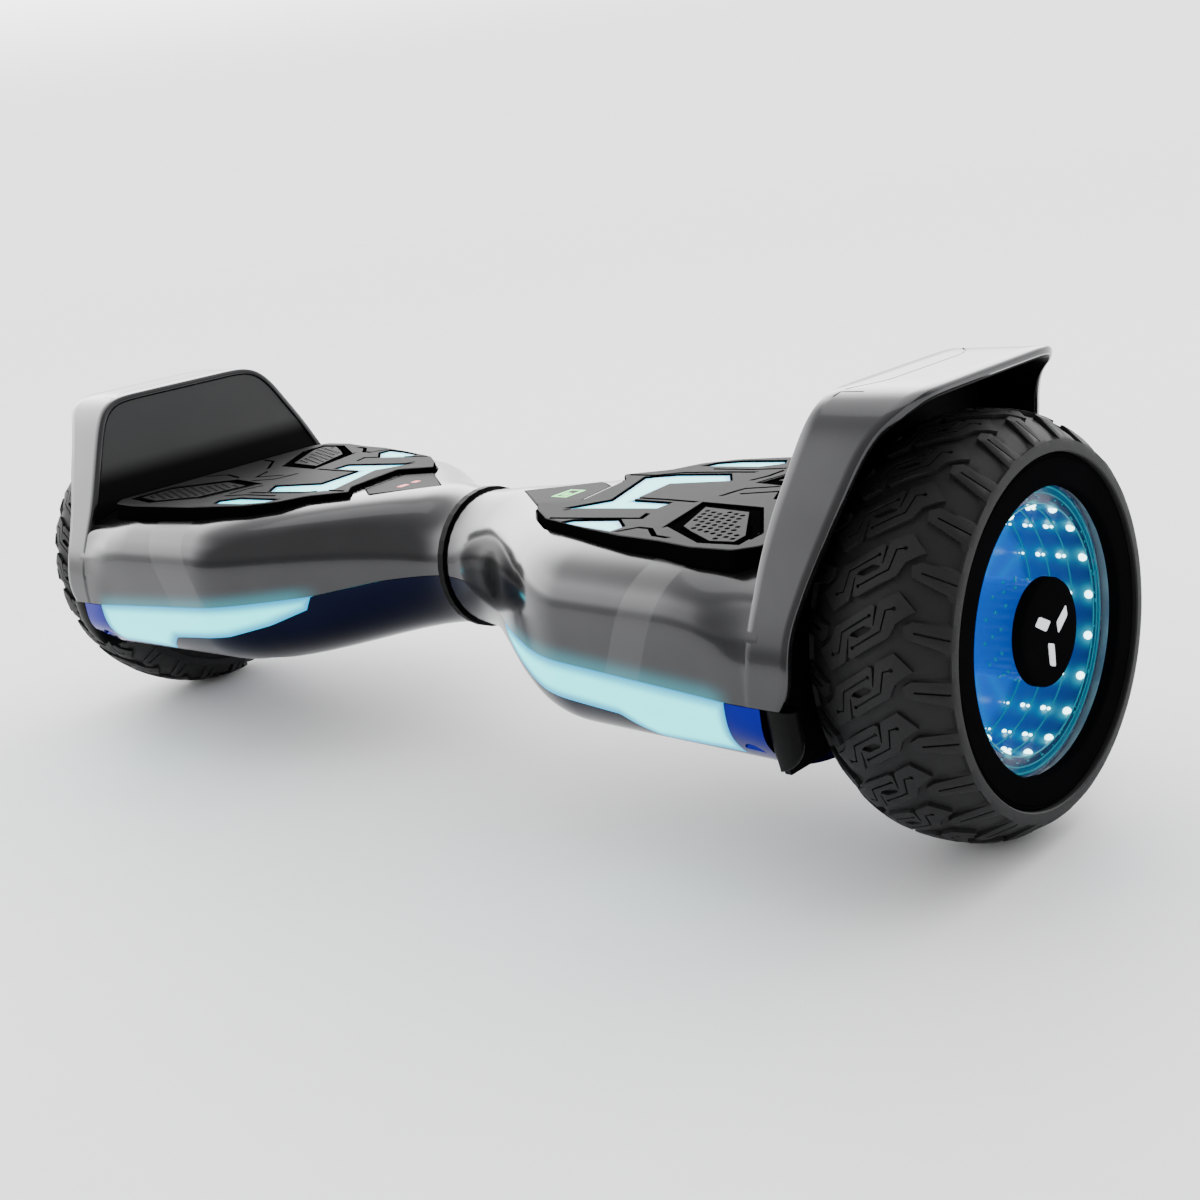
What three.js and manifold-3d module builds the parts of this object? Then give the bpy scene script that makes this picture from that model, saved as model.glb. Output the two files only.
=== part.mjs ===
// A two-wheeled self-balancing board: two half bodies that twist against each
// other about a hollow centre pivot, each with its own hub-motor wheel.
//
// Millimetres. +X runs along the axle, -Y is the front with the headlights and
// +Z is up. The origin is on the ground, midway between the two wheels.
//
// Plan of the file: dimensions, the small solid-making helpers, the outer skin
// that the shells, lenses and cavities share, the pieces, and the assembly.

import * as THREE from 'three';
import { mergeVertices } from 'three/addons/utils/BufferGeometryUtils.js';
import Module from 'manifold-3d';

const wasm = await Module();
wasm.setup();

// ---------------------------------------------------------------- dimensions

const GAP = 0.3;                 // clearance between pieces that touch
const WALL = 3;                  // moulded shell thickness

const WHEEL_R = 85;
const AXLE_Z = WHEEL_R;
const WHEEL_OUT_X = 311;         // outer face of the tyre
const WHEEL_IN_X = 249.4;        // inner face of the tyre

const PIVOT_Z = 95.5;            // height of the centre twist axis
const NECK_R = 34;
const NECK_X = 2.2;              // where each half body starts, beside the seam ring
const SEAM_RING_R = 35.7;

const BODY_END_X = 243;          // end wall, next to the wheel
const DECK_Z = 131;
const BELLY_Z = 42;
const BODY_HALF_DEPTH = 98;

const PARTING = [[-5, 95.5], [40, 92], [73, 87], [225, 80], [320, 79]];

const FENDER_FOOT_Y = 98;        // the band's feet, either side of the axle
const FENDER_TOP_Z = 188;
const FENDER_T = 3.5;

const PAD_TOP_Z = 133.5;
const PAD_BOTTOM_Z = 123.3;
const PAD_TRAVEL = 1.5;
const TRAY_FLOOR_Z = PAD_BOTTOM_Z - PAD_TRAVEL - GAP;
const PAD_RIM = 1.2;             // gap between the pad and its tray
const SWITCH_X = 162;
const SWITCH_Y = 20;

// Plan of the right half's foot pad, from its front tip round the outside.
const PAD_OUTLINE = [
  [68, -28], [80, -40], [97, -52], [130, -62], [157, -69], [180, -72],
  [201, -77], [222, -77], [230, -69], [230, 69], [222, 77], [201, 79],
  [153, 74], [115, 64], [100, 54], [92, 40], [72, 28], [82, 18], [89, -20],
];

// Plan of the right half's status panel, between the pad and the seam.
const PANEL_OUTLINE = [[32, -1], [65.5, -25], [82, -18.5], [76, 14], [63.5, 22]];

// Front elevation (x, z) of the right headlight; its top is the parting line.
const HEADLIGHT_OUTLINE = [
  [73, 90], [225, 90], [227, 56], [180, 54], [164, 64.5], [118, 68], [95, 73], [76, 80],
];
const UNDERGLOW_OUTLINE = [[112, -66], [224, -76], [224, -58], [112, -50]];

const BUTTON = { x: -112, z: 70, r: 6, front: 87, back: 76 };
const SPEAKER = { x: -125, y: 18 };
const PORT = { x: -160, z: 69, r: 9, face: 93, back: 80, socket: 5.5 };

// ------------------------------------------------------------------- colours

const look = (color, roughness, metalness) => ({ color, roughness, metalness });
const GUNMETAL = look(0x77797d, 0.22, 1);
const MATTE_BLACK = look(0x1b1b1d, 0.6, 0);
const RUBBER = look(0x2b2b2d, 0.8, 0);
const TYRE = look(0x202022, 0.85, 0);
const GLOSS_BLACK = look(0x08080a, 0.12, 0);
const CYAN_LIGHT = look(0xa5f6ff, 0.3, 0);
const ALUMINIUM = look(0xb9bcc0, 0.4, 1);
const STEEL = look(0x8e9196, 0.35, 1);
const BLUE_GLASS = look(0x1173d8, 0.1, 0);
const BOARD_GREEN = look(0x1d4a33, 0.6, 0);
const COPPER = look(0xb06a3a, 0.4, 1);

// ------------------------------------------------------------------- helpers

// A closed three.js geometry as a solid. Only positions are kept, vertices at
// one place are merged, and slivers with two corners in one place are dropped.
function solid(geometry) {
  const bare = geometry.clone();
  bare.deleteAttribute('normal');
  bare.deleteAttribute('uv');
  const merged = mergeVertices(bare, 1e-3);
  const corners = merged.index.array;
  const kept = [];
  for (let i = 0; i < corners.length; i += 3) {
    const [a, b, c] = [corners[i], corners[i + 1], corners[i + 2]];
    if (a !== b && b !== c && c !== a) kept.push([a, b, c]);
  }
  const build = (triangles) => new wasm.Manifold(new wasm.Mesh({
    numProp: 3,
    vertProperties: new Float32Array(merged.attributes.position.array),
    triVerts: new Uint32Array(triangles.flat()),
  }));
  const body = build(kept);
  return body.volume() > 0 ? body : build(kept.map(([a, b, c]) => [a, c, b]));
}

function box(x0, x1, y0, y1, z0, z1) {
  const geometry = new THREE.BoxGeometry(x1 - x0, y1 - y0, z1 - z0);
  geometry.translate((x0 + x1) / 2, (y0 + y1) / 2, (z0 + z1) / 2);
  return solid(geometry);
}

// Turns the frame a shape is drawn in, so that it is extruded along one axis.
const DRAWN_FOR = {
  x: new THREE.Matrix4().set(0, 0, 1, 0, 1, 0, 0, 0, 0, 1, 0, 0, 0, 0, 0, 1),
  y: new THREE.Matrix4().set(1, 0, 0, 0, 0, 0, -1, 0, 0, 1, 0, 0, 0, 0, 0, 1),
  z: new THREE.Matrix4(),
};

// An outline extruded along an axis: (y, z) points along x, (x, z) along y and
// (x, y) along z.
function prism(points, axis, from, to) {
  const shape = new THREE.Shape(points.map(([u, v]) => new THREE.Vector2(u, v)));
  const geometry = new THREE.ExtrudeGeometry(shape, { depth: to - from, bevelEnabled: false });
  geometry.translate(0, 0, axis === 'y' ? -to : from);
  geometry.applyMatrix4(DRAWN_FOR[axis]);
  return solid(geometry);
}

// A profile of [x, radius] points turned about a line parallel to x.
function turned(profile, z, segments = 32, y = 0) {
  const points = profile.map(([along, r]) => new THREE.Vector2(r, along));
  const geometry = new THREE.LatheGeometry(points, segments, Math.PI / segments);
  geometry.rotateZ(-Math.PI / 2);
  geometry.translate(0, y, z);
  return solid(geometry);
}

function disc(x0, x1, r, z, segments) {
  return turned([[x0, 0], [x0, r], [x1, r], [x1, 0]], z, segments);
}

function ring(x0, x1, inner, outer, z, segments) {
  const profile = [[x0, inner], [x0, outer], [x1, outer], [x1, inner], [x0, inner]];
  return turned(profile, z, segments);
}

function post(axis, u, v, r, from, to, segments = 20) {
  const points = [];
  for (let i = 0; i < segments; i += 1) {
    const angle = (2 * Math.PI * (i + 0.5)) / segments;
    points.push([u + r * Math.cos(angle), v + r * Math.sin(angle)]);
  }
  return prism(points, axis, from, to);
}

// Moves every edge of a closed outline outwards by a distance. Outlines here
// run anticlockwise, so a positive distance grows them.
function grown(points, distance) {
  const count = points.length;
  return points.map((point, i) => {
    const before = points[(i + count - 1) % count];
    const after = points[(i + 1) % count];
    const a = new THREE.Vector2(point[0] - before[0], point[1] - before[1]).normalize();
    const b = new THREE.Vector2(after[0] - point[0], after[1] - point[1]).normalize();
    const normal = new THREE.Vector2(a.y + b.y, -a.x - b.x).normalize();
    const spread = Math.max(0.5, normal.x * a.y - normal.y * a.x);
    return [point[0] + (normal.x * distance) / spread, point[1] + (normal.y * distance) / spread];
  });
}

function union(parts) {
  return parts.reduce((whole, part) => whole.add(part));
}

// ------------------------------------------------- the outer skin of one half

const clamp01 = (t) => Math.min(1, Math.max(0, t));
const smooth = (t) => clamp01(t) ** 2 * (3 - 2 * clamp01(t));

// The skin's section at x: a round neck that swells into a wide squarish body,
// squarer above its middle than below it.
function section(x) {
  const shoulder = BODY_HALF_DEPTH - NECK_R - 8;
  const depth = NECK_R + shoulder * smooth((x - 5) / 130) + 8 * clamp01((x - 100) / 140);
  const neckTop = PIVOT_Z + NECK_R;
  const neckBottom = PIVOT_Z - NECK_R;
  const top = neckTop + (DECK_Z - neckTop) * smooth(x / 30);
  const bottom = neckBottom + (BELLY_Z - neckBottom) * smooth(x / 135);
  const powerAbove = 2 + 2.3 * smooth(x / 120) - 0.9 * smooth((x - 195) / 45);
  const powerBelow = 2 + 1.2 * smooth(x / 120);
  return { depth, top, bottom, powerAbove, powerBelow };
}

// A solid that fills the skin from x0 to x1, with its surface moved inwards.
function skin(x0, x1, inset, steps = 13, around = 28) {
  const stations = [];
  for (let i = 0; i <= steps; i += 1) stations.push(x0 + ((x1 - x0) * i) / steps);
  const positions = [];
  stations.forEach((x) => {
    const { depth, top, bottom, powerAbove, powerBelow } = section(x);
    const middle = (top + bottom) / 2;
    const height = (top - bottom) / 2 - inset;
    for (let j = 0; j < around; j += 1) {
      const angle = (2 * Math.PI * j) / around;
      const c = Math.cos(angle);
      const s = Math.sin(angle);
      const power = s > 0 ? powerAbove : powerBelow;
      const y = (depth - inset) * Math.sign(c) * Math.abs(c) ** (2 / power);
      const z = middle + height * Math.sign(s) * Math.abs(s) ** (2 / power);
      positions.push(x, y, z);
    }
  });
  const index = [];
  for (let i = 0; i < steps; i += 1) {
    for (let j = 0; j < around; j += 1) {
      const a = i * around + j;
      const b = i * around + ((j + 1) % around);
      index.push(a, b, a + around, b, b + around, a + around);
    }
  }
  const last = steps * around;
  for (let j = 1; j < around - 1; j += 1) {
    index.push(0, j + 1, j, last, last + j, last + j + 1);
  }
  const geometry = new THREE.BufferGeometry();
  geometry.setAttribute('position', new THREE.Float32BufferAttribute(positions, 3));
  geometry.setIndex(index);
  return solid(geometry);
}

// Everything below the parting line, lowered by a clearance.
function belowParting(clearance) {
  const line = PARTING.map(([x, z]) => [x, z - clearance]);
  return prism([[-5, -20], [320, -20], ...line.toReversed()], 'y', -130, 130);
}

// ---------------------------------------------------- the fender over a wheel

// The band's outer path in (y, z), from its front foot over to its rear foot:
// upright at the feet, then a long slope on each side up to a flat top.
function fenderPath() {
  const slope = [
    [FENDER_FOOT_Y, 77], [FENDER_FOOT_Y, 86], [97.2, 95], [94.5, 106], [90, 115.5], [83, 130], [74, 150], [62.5, 173],
    [59, 178.5], [54, 184], [47, 187.2], [38, FENDER_TOP_Z],
  ];
  return [...slope.map(([y, z]) => [-y, z]), ...slope.toReversed()];
}

// The fender leans outwards: its inner edge over the foot, and its outer edge
// over the tyre, as (x, z) points from the bottom up.
const FENDER_INNER_EDGE = [[236, 70], [238, 115], [238.3, 132], [241.3, 150], [244, 160], [250.3, 188], [251, 192]];
const FENDER_OUTER_EDGE = [
  [251, 70], [251.5, 78], [254.5, 81.5], [257, 86], [257.3, 110], [262, 128], [270, 150], [277, 170], [284, 180],
  [296, 188], [296, 192],
];

function fenderBand() {
  const outer = fenderPath();
  const inner = grown(outer.toReversed(), -FENDER_T).toReversed();
  inner[0] = [outer[0][0] + FENDER_T, outer[0][1]];
  inner[inner.length - 1] = [outer.at(-1)[0] - FENDER_T, outer.at(-1)[1]];
  const band = prism([...outer, ...inner.toReversed()], 'x', 215, 300);
  const edges = [...FENDER_OUTER_EDGE, ...FENDER_INNER_EDGE.toReversed()];
  return band.intersect(prism(edges, 'y', -130, 130));
}

// The space under the band, from the foot side's leaning face to an end plane.
function underFender(x1, shrink, z0, z1) {
  const outline = grown(fenderPath().toReversed(), -shrink);
  const leaning = FENDER_INNER_EDGE.toReversed();
  const side = prism([[320, 70], [320, 192], ...leaning], 'y', -130, 130);
  return prism(outline, 'x', 215, x1).intersect(side).intersect(box(200, 320, -130, 130, z0, z1));
}

// -------------------------------------------------------------- half's pieces

const cavity = skin(NECK_X - 2, BODY_END_X - WALL, WALL, 10, 20);
const body = skin(NECK_X, BODY_END_X, 0);

const AXLE_HOLE = () => disc(BODY_END_X - 15, BODY_END_X + 10, 15, AXLE_Z, 24);

function upperShell() {
  const inFender = underFender(BODY_END_X, FENDER_T / 2, 76, 119);
  const tray = prism(grown(PAD_OUTLINE, PAD_RIM + 2), 'z', TRAY_FLOOR_Z - WALL, 160).intersect(body);
  const panelTray = prism(grown(PANEL_OUTLINE, 2), 'z', 124.5, 160).intersect(body);
  const cuts = [
    prism(grown(PAD_OUTLINE, PAD_RIM), 'z', TRAY_FLOOR_Z, 160),
    prism(grown(PANEL_OUTLINE, GAP), 'z', 127.5, 160),
    post('z', SWITCH_X, -SWITCH_Y, 6, 100, 130),
    post('z', SWITCH_X, SWITCH_Y, 6, 100, 130),
    belowParting(0),
    AXLE_HOLE(),
  ];
  const walls = union([body, inFender]).subtract(cavity);
  const whole = union([walls, tray, panelTray, fenderBand()]);
  return cuts.reduce((shell, cut) => shell.subtract(cut), whole);
}

// The matte panel that closes the fender beside the foot, set 1 mm behind the
// fender's leaning inner edge.
function footWall() {
  const shifted = (distance) => FENDER_INNER_EDGE.map(([x, z]) => [x + distance, z]);
  const slab = prism([...shifted(1 + WALL), ...shifted(1).toReversed()], 'y', -130, 130);
  const plate = underFender(300, FENDER_T + GAP, 119 + GAP, 190).intersect(slab);
  return plate.subtract(skin(200, BODY_END_X + 4, -GAP, 2));
}

function lowerShell(extraCuts = []) {
  const headlight = prism(grown(HEADLIGHT_OUTLINE.toReversed(), GAP), 'y', -130, -20);
  const underglow = prism(grown(UNDERGLOW_OUTLINE, GAP), 'z', 20, 62);
  const cuts = [headlight, underglow, AXLE_HOLE(), ...extraCuts];
  const walls = body.subtract(cavity).intersect(belowParting(GAP));
  return cuts.reduce((shell, cut) => shell.subtract(cut), walls);
}

// Lenses are slivers of the same skin, so they lie flush in their openings.
function headlightLens() {
  const cut = prism(HEADLIGHT_OUTLINE, 'y', -130, -20);
  return body.subtract(cavity).intersect(cut).intersect(belowParting(GAP));
}

function underglowLens() {
  return body.subtract(cavity).intersect(prism(UNDERGLOW_OUTLINE, 'z', 20, 62));
}

// The black panel between the body's end wall and the wheel. A lip at its
// front and rear corners curls out beside the tyre.
function archLiner() {
  const x0 = BODY_END_X + GAP;
  const lipR = FENDER_FOOT_Y - FENDER_T - GAP;
  const underBand = prism(grown(fenderPath().toReversed(), -FENDER_T - GAP), 'x', 215, 300);
  const room = underBand.add(box(200, 300, -130, 130, 40, 84));
  const plate = disc(x0, x0 + 3, lipR, AXLE_Z, 40).intersect(box(200, 300, -130, 130, 46, 118));
  const lip = ring(x0, x0 + 20, lipR - 4, lipR, AXLE_Z, 40);
  const corners = union([box(200, 300, -130, -60, 46, 92), box(200, 300, 60, 130, 46, 92)]);
  return plate.add(lip.intersect(corners)).intersect(room).subtract(disc(200, 300, 24, AXLE_Z, 24));
}

function footpad() {
  const mat = prism(PAD_OUTLINE, 'z', PAD_BOTTOM_Z, PAD_TOP_Z);
  const posts = [-SWITCH_Y, SWITCH_Y].map((y) => post('z', SWITCH_X, y, 5, 112.3, PAD_BOTTOM_Z + 1));
  const slots = union(lightBars(GAP));
  const window = prism(grown(LIGHT_PLATE, GAP), 'z', PAD_BOTTOM_Z - 1, PAD_BOTTOM_Z + 3);
  return union([mat, ...posts]).subtract(slots).subtract(window);
}

// Light bars that show through the mat: a stepped Z, with a short bar towards
// the front and one towards the rear. They stand on one clear plate set in the
// mat's underside.
const LIGHT_PLATE = [
  [90, 25], [96, -40], [112, -55], [130, -59.5], [147, -62.5], [147, 63], [120, 60], [104, 48],
];
const LIGHT_BARS = [
  [[90, 24], [106, -17], [98, -28], [93, -34], [140, -26], [140, -17], [116, -16], [112, 15], [141, 24],
    [132, 35], [104, 31]],
  [[112, -54.5], [130, -59.5], [146, -62.5], [147, -56], [136, -46.5], [114, -51.5]],
  [[106, 49], [137, 51], [146, 58], [143, 63], [120, 60], [109, 55]],
];

function lightBars(clearance) {
  return LIGHT_BARS.map((outline) => (
    prism(grown(outline, clearance), 'z', PAD_BOTTOM_Z + 1, PAD_TOP_Z - 0.8 + clearance * 4)
  ));
}

function padLight() {
  const plate = prism(LIGHT_PLATE, 'z', PAD_BOTTOM_Z + 0.4, PAD_BOTTOM_Z + 2.6);
  return union([plate, ...lightBars(0)]);
}

function statusPanel() {
  return prism(PANEL_OUTLINE, 'z', 127.5 + GAP, DECK_Z);
}

// The aluminium frame that carries the loads from the pivot to the axle.
function chassis(boreR) {
  const plate = box(44, 205, -36, 36, 88.5, 92.5);
  const flanges = [box(60, 205, -36, -33, 90, 99), box(60, 205, 33, 36, 90, 99)];
  const stands = [];
  [118, 182].forEach((x) => [-22, 22].forEach((y) => stands.push(box(x - 3, x + 3, y - 3, y + 3, 90, 100.7))));
  const pivotBoss = disc(8, 48, 19, PIVOT_Z, 20);
  const axleBoss = box(196, 238, -24, 24, AXLE_Z, 99);
  const pivotBore = disc(0, 60, boreR, PIVOT_Z, 20);
  const clipRoom = disc(48, 58, 18.5, PIVOT_Z, 20);
  const axleBore = disc(190, 250, AXLE_R + GAP, AXLE_Z, 20);
  const casting = union([plate, ...flanges, ...stands, pivotBoss, axleBoss]);
  return casting.subtract(pivotBore).subtract(clipRoom).subtract(axleBore);
}

function axleClamp() {
  return box(200, 234, -22, 22, 70, AXLE_Z - GAP).subtract(disc(190, 250, AXLE_R + GAP, AXLE_Z, 20));
}

function gyroBoard() {
  const board = box(110, 190, -28, 28, 101, 102.6);
  const switches = [-SWITCH_Y, SWITCH_Y].map((y) => (
    box(SWITCH_X - 6, SWITCH_X + 6, y - 5, y + 5, 102, 110.5)
  ));
  return union([board, ...switches, box(176, 186, -12, 12, 102, 108)]);
}

// --------------------------------------------------------------------- wheel

const TYRE_SEGMENTS = 36;

// Each [x, radius] corner of the tyre's section. Radii are to the middle of a
// facet, so the wheel stands on a flat at exactly its stated radius.
const TYRE_SECTION = [
  [255, 62], [WHEEL_IN_X, 68.8], [WHEEL_IN_X + 0.6, 74], [256.4, 79], [272, WHEEL_R], [288.4, WHEEL_R],
  [304, 79], [WHEEL_OUT_X - 0.6, 74], [WHEEL_OUT_X, 68.8], [304.5, 68.8], [304.5, 62], [255, 62],
];

function tyre() {
  const flatten = 1 / Math.cos(Math.PI / TYRE_SEGMENTS);
  return turned(TYRE_SECTION.map(([x, r]) => [x, r * flatten]), AXLE_Z, TYRE_SEGMENTS);
}

// Along the axle, from the body outwards: the motor's cover, its stator, the
// rotor's web, then the deep mirrored well that the wheel's face looks into.
const WEB_X = 266;
const WELL_FLOOR_X = 270;
const WINDOW_X = 301.8;
const AXLE_R = 8;
const BEARING_R = 14;
const DRUM_R = 61.5;
const WELL_R = 57.8;
const WINDOW_R = 56;
const BEZEL_R = 68.4;
const HUB_CAP_R = 21.2;

// The rotor drum carries the tyre outside, the magnets' space on its body side
// and the lit well on its outer side.
function motorRim() {
  const bore = BEARING_R + GAP;
  return turned([
    [254.3, DRUM_R - 3], [254.3, DRUM_R], [304, DRUM_R], [304, WELL_R + 0.5], [WEB_X + 3.5, WELL_R + 0.5],
    [WEB_X + 3.5, bore], [WEB_X, bore], [WEB_X, DRUM_R - 3], [254.3, DRUM_R - 3],
  ], AXLE_Z, 28);
}

function lightWell() {
  return turned([
    [WELL_FLOOR_X, 0], [WELL_FLOOR_X, WELL_R], [WINDOW_X - GAP, WELL_R], [WINDOW_X - GAP, WELL_R - 2.5],
    [WELL_FLOOR_X + 2, WELL_R - 2.5], [WELL_FLOOR_X + 2, 0],
  ], AXLE_Z, 28);
}

const wheelPieces = () => ({
  tyre: [tyre(), TYRE],
  motor_rim: [motorRim(), ALUMINIUM],
  motor_cover: [ring(250.2, 254, BEARING_R + GAP, DRUM_R - 1.5, AXLE_Z, 24), ALUMINIUM],
  bearing_inner: [ring(249.8, 254.6, AXLE_R + GAP, BEARING_R, AXLE_Z, 16), STEEL],
  bearing_outer: [ring(263, WEB_X + 3.5, AXLE_R + GAP, BEARING_R, AXLE_Z, 16), STEEL],
  light_well: [lightWell(), CYAN_LIGHT],
  hub_spacer: [disc(WELL_FLOOR_X + 2 + GAP, WINDOW_X + 2, HUB_CAP_R - 1.7, AXLE_Z, 24), BLUE_GLASS],
  infinity_lens: [ring(WINDOW_X, WINDOW_X + 2, HUB_CAP_R - 1.2, WELL_R, AXLE_Z, 28), BLUE_GLASS],
  bezel_ring: [ring(WINDOW_X + 3, 309.6, WINDOW_R, BEZEL_R, AXLE_Z, 28), GLOSS_BLACK],
  hub_cap: [
    turned([[304.1, 0], [304.1, HUB_CAP_R], [308.2, HUB_CAP_R], [309.6, 19.6], [309.6, 0]], AXLE_Z, 24),
    GLOSS_BLACK,
  ],
});

const axlePieces = () => ({
  axle: [disc(198, WEB_X + 3.5, AXLE_R, AXLE_Z, 20), STEEL],
  stator: [ring(255, 262.5, AXLE_R + GAP, 54, AXLE_Z, 20), COPPER],
});

// ------------------------------------------------------------------ assembly

function geometryOf(piece) {
  const { vertProperties, triVerts } = piece.getMesh();
  const geometry = new THREE.BufferGeometry();
  geometry.setAttribute('position', new THREE.BufferAttribute(vertProperties.slice(), 3));
  geometry.setIndex(new THREE.BufferAttribute(triVerts.slice(), 1));
  geometry.computeVertexNormals();
  return geometry;
}

// The same geometry seen in a mirror across the plane x = 0.
function mirrored(geometry) {
  const copy = geometry.clone().scale(-1, 1, 1);
  const index = copy.index.array;
  for (let i = 0; i < index.length; i += 3) [index[i], index[i + 1]] = [index[i + 1], index[i]];
  copy.computeVertexNormals();
  return copy;
}

function place(parent, name, geometry, finish) {
  const mesh = new THREE.Mesh(geometry, new THREE.MeshStandardMaterial(finish));
  mesh.name = name;
  parent.add(mesh);
}

const hoverboard = new THREE.Group();

// Top pieces are one moulding used twice: the left one is the right one turned
// half a turn about the vertical.
const turnedHalf = new THREE.Group();
turnedHalf.rotation.z = Math.PI;
hoverboard.add(turnedHalf);

const topPieces = {
  upper_shell: [upperShell(), GUNMETAL],
  foot_wall: [footWall(), MATTE_BLACK],
  footpad: [footpad(), RUBBER],
  footpad_light: [padLight(), CYAN_LIGHT],
  status_panel: [statusPanel(), GLOSS_BLACK],
};
Object.entries(topPieces).forEach(([name, [piece, finish]]) => {
  place(hoverboard, `right_${name}`, geometryOf(piece), finish);
  place(turnedHalf, `left_${name}`, geometryOf(piece), finish);
});

// The rest is mirrored, so that both headlights face the front.
const mirroredPieces = {
  headlight_lens: [headlightLens(), CYAN_LIGHT],
  underglow_lens: [underglowLens(), CYAN_LIGHT],
  arch_liner: [archLiner(), MATTE_BLACK],
  axle_clamp: [axleClamp(), STEEL],
  gyro_board: [gyroBoard(), BOARD_GREEN],
  ...wheelPieces(),
  ...axlePieces(),
};
Object.entries(mirroredPieces).forEach(([name, [piece, finish]]) => {
  place(hoverboard, `right_${name}`, geometryOf(piece), finish);
  place(hoverboard, `left_${name}`, mirrored(geometryOf(piece)), finish);
});

// The left half turns on the pivot tube's fixed end, the right one on a bush.
const TUBE_R = 12;
const BUSH_R = 15;
place(hoverboard, 'right_chassis', geometryOf(chassis(BUSH_R)), ALUMINIUM);
place(hoverboard, 'left_chassis', mirrored(geometryOf(chassis(TUBE_R + GAP))), ALUMINIUM);
const centrePieces = {
  pivot_tube: [ring(-46, 54, TUBE_R - 3, TUBE_R, PIVOT_Z, 20), STEEL],
  pivot_bush: [ring(9, 47, TUBE_R + GAP, BUSH_R - GAP, PIVOT_Z, 20), look(0xb58a3c, 0.4, 1)],
  pivot_clip: [ring(48.6, 50.4, TUBE_R + GAP, 17, PIVOT_Z, 20), STEEL],
  seam_ring: [ring(-1.9, 1.9, 29, SEAM_RING_R, PIVOT_Z, 32), MATTE_BLACK],
};

// The battery hangs under the right chassis; the left one has the controller.
const heatsink = box(-150, -84, -26, 26, 76, 88);
const controller = union([box(-172, -70, -32, 32, 74, 76.5), heatsink, box(-168, -154, -24, 24, 62, 75)]);
const speaker = union([
  post('z', SPEAKER.x, SPEAKER.y, 19, 49.5, 54.5, 24),
  post('z', SPEAKER.x, SPEAKER.y, 11, 53, 61, 20),
]);
const packCorners = grown([[102, -38], [186, -38], [186, 38], [102, 38]], 0);
const battery = prism(packCorners, 'z', 51, 87.5);

// The left half's rear face has the power button and the charging socket.
const portBody = post('y', PORT.x, PORT.z, PORT.r, PORT.back, PORT.face - 1.5, 24)
  .subtract(post('y', PORT.x, PORT.z, PORT.socket, PORT.back + 4, PORT.face, 20));
const coverPlate = post('y', PORT.x, PORT.z, PORT.r + 1.5, PORT.face - 1.2, PORT.face + 1, 24);
const portCover = coverPlate.add(box(PORT.x - 5, PORT.x + 5, PORT.face - 1.2, PORT.face + 1, PORT.z + 8, PORT.z + 13));
const leftRearCuts = [
  post('y', -BUTTON.x, BUTTON.z, BUTTON.r + GAP, 70, 120),
  post('y', -PORT.x, PORT.z, PORT.r + GAP, 70, 120, 24),
  post('y', -PORT.x, PORT.z, PORT.r + 2, PORT.face - 1.5, 120, 24),
  box(-PORT.x - 5.5, -PORT.x + 5.5, PORT.face - 1.5, 120, PORT.z + 7, PORT.z + 13.4),
];
[-12, -6, 0, 6, 12].forEach((step) => {
  const y = SPEAKER.y + step;
  leftRearCuts.push(box(-SPEAKER.x - 10, -SPEAKER.x + 10, y - 1, y + 1, 30, 49));
});
place(hoverboard, 'right_lower_shell', geometryOf(lowerShell()), GUNMETAL);
place(hoverboard, 'left_lower_shell', mirrored(geometryOf(lowerShell(leftRearCuts))), GUNMETAL);

Object.entries({
  ...centrePieces,
  battery_pack: [battery, look(0x2a4f9e, 0.5, 0)],
  controller_board: [controller, BOARD_GREEN],
  speaker: [speaker, MATTE_BLACK],
  power_button: [post('y', BUTTON.x, BUTTON.z, BUTTON.r, BUTTON.back, BUTTON.front, 24), MATTE_BLACK],
  charge_port: [portBody, MATTE_BLACK],
  charge_cover: [portCover, RUBBER],
}).forEach(([name, [piece, finish]]) => place(hoverboard, name, geometryOf(piece), finish));

export default hoverboard;
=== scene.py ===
"""A two-wheeled self-balancing board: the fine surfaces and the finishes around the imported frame.

Shape functions work in millimetres, as the frame's part does, and new meshes are made in metres.
+X runs along the axle, -Y is the front with the headlights, and +Z is up.
"""
import math

import bmesh
import bpy
from mathutils import Matrix, Vector
from mathutils.geometry import delaunay_2d_cdt


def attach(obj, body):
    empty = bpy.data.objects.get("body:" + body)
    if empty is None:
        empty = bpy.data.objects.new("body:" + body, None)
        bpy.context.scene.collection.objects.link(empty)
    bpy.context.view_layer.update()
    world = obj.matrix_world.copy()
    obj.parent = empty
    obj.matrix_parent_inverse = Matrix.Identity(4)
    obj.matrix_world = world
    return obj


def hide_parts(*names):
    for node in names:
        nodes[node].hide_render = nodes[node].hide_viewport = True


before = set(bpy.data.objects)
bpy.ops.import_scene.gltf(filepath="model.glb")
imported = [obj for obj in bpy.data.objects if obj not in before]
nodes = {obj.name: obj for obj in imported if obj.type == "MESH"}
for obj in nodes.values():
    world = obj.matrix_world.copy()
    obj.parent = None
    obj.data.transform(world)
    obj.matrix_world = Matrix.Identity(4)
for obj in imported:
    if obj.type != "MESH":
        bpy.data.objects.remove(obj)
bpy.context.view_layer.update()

MM = 0.001

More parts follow.
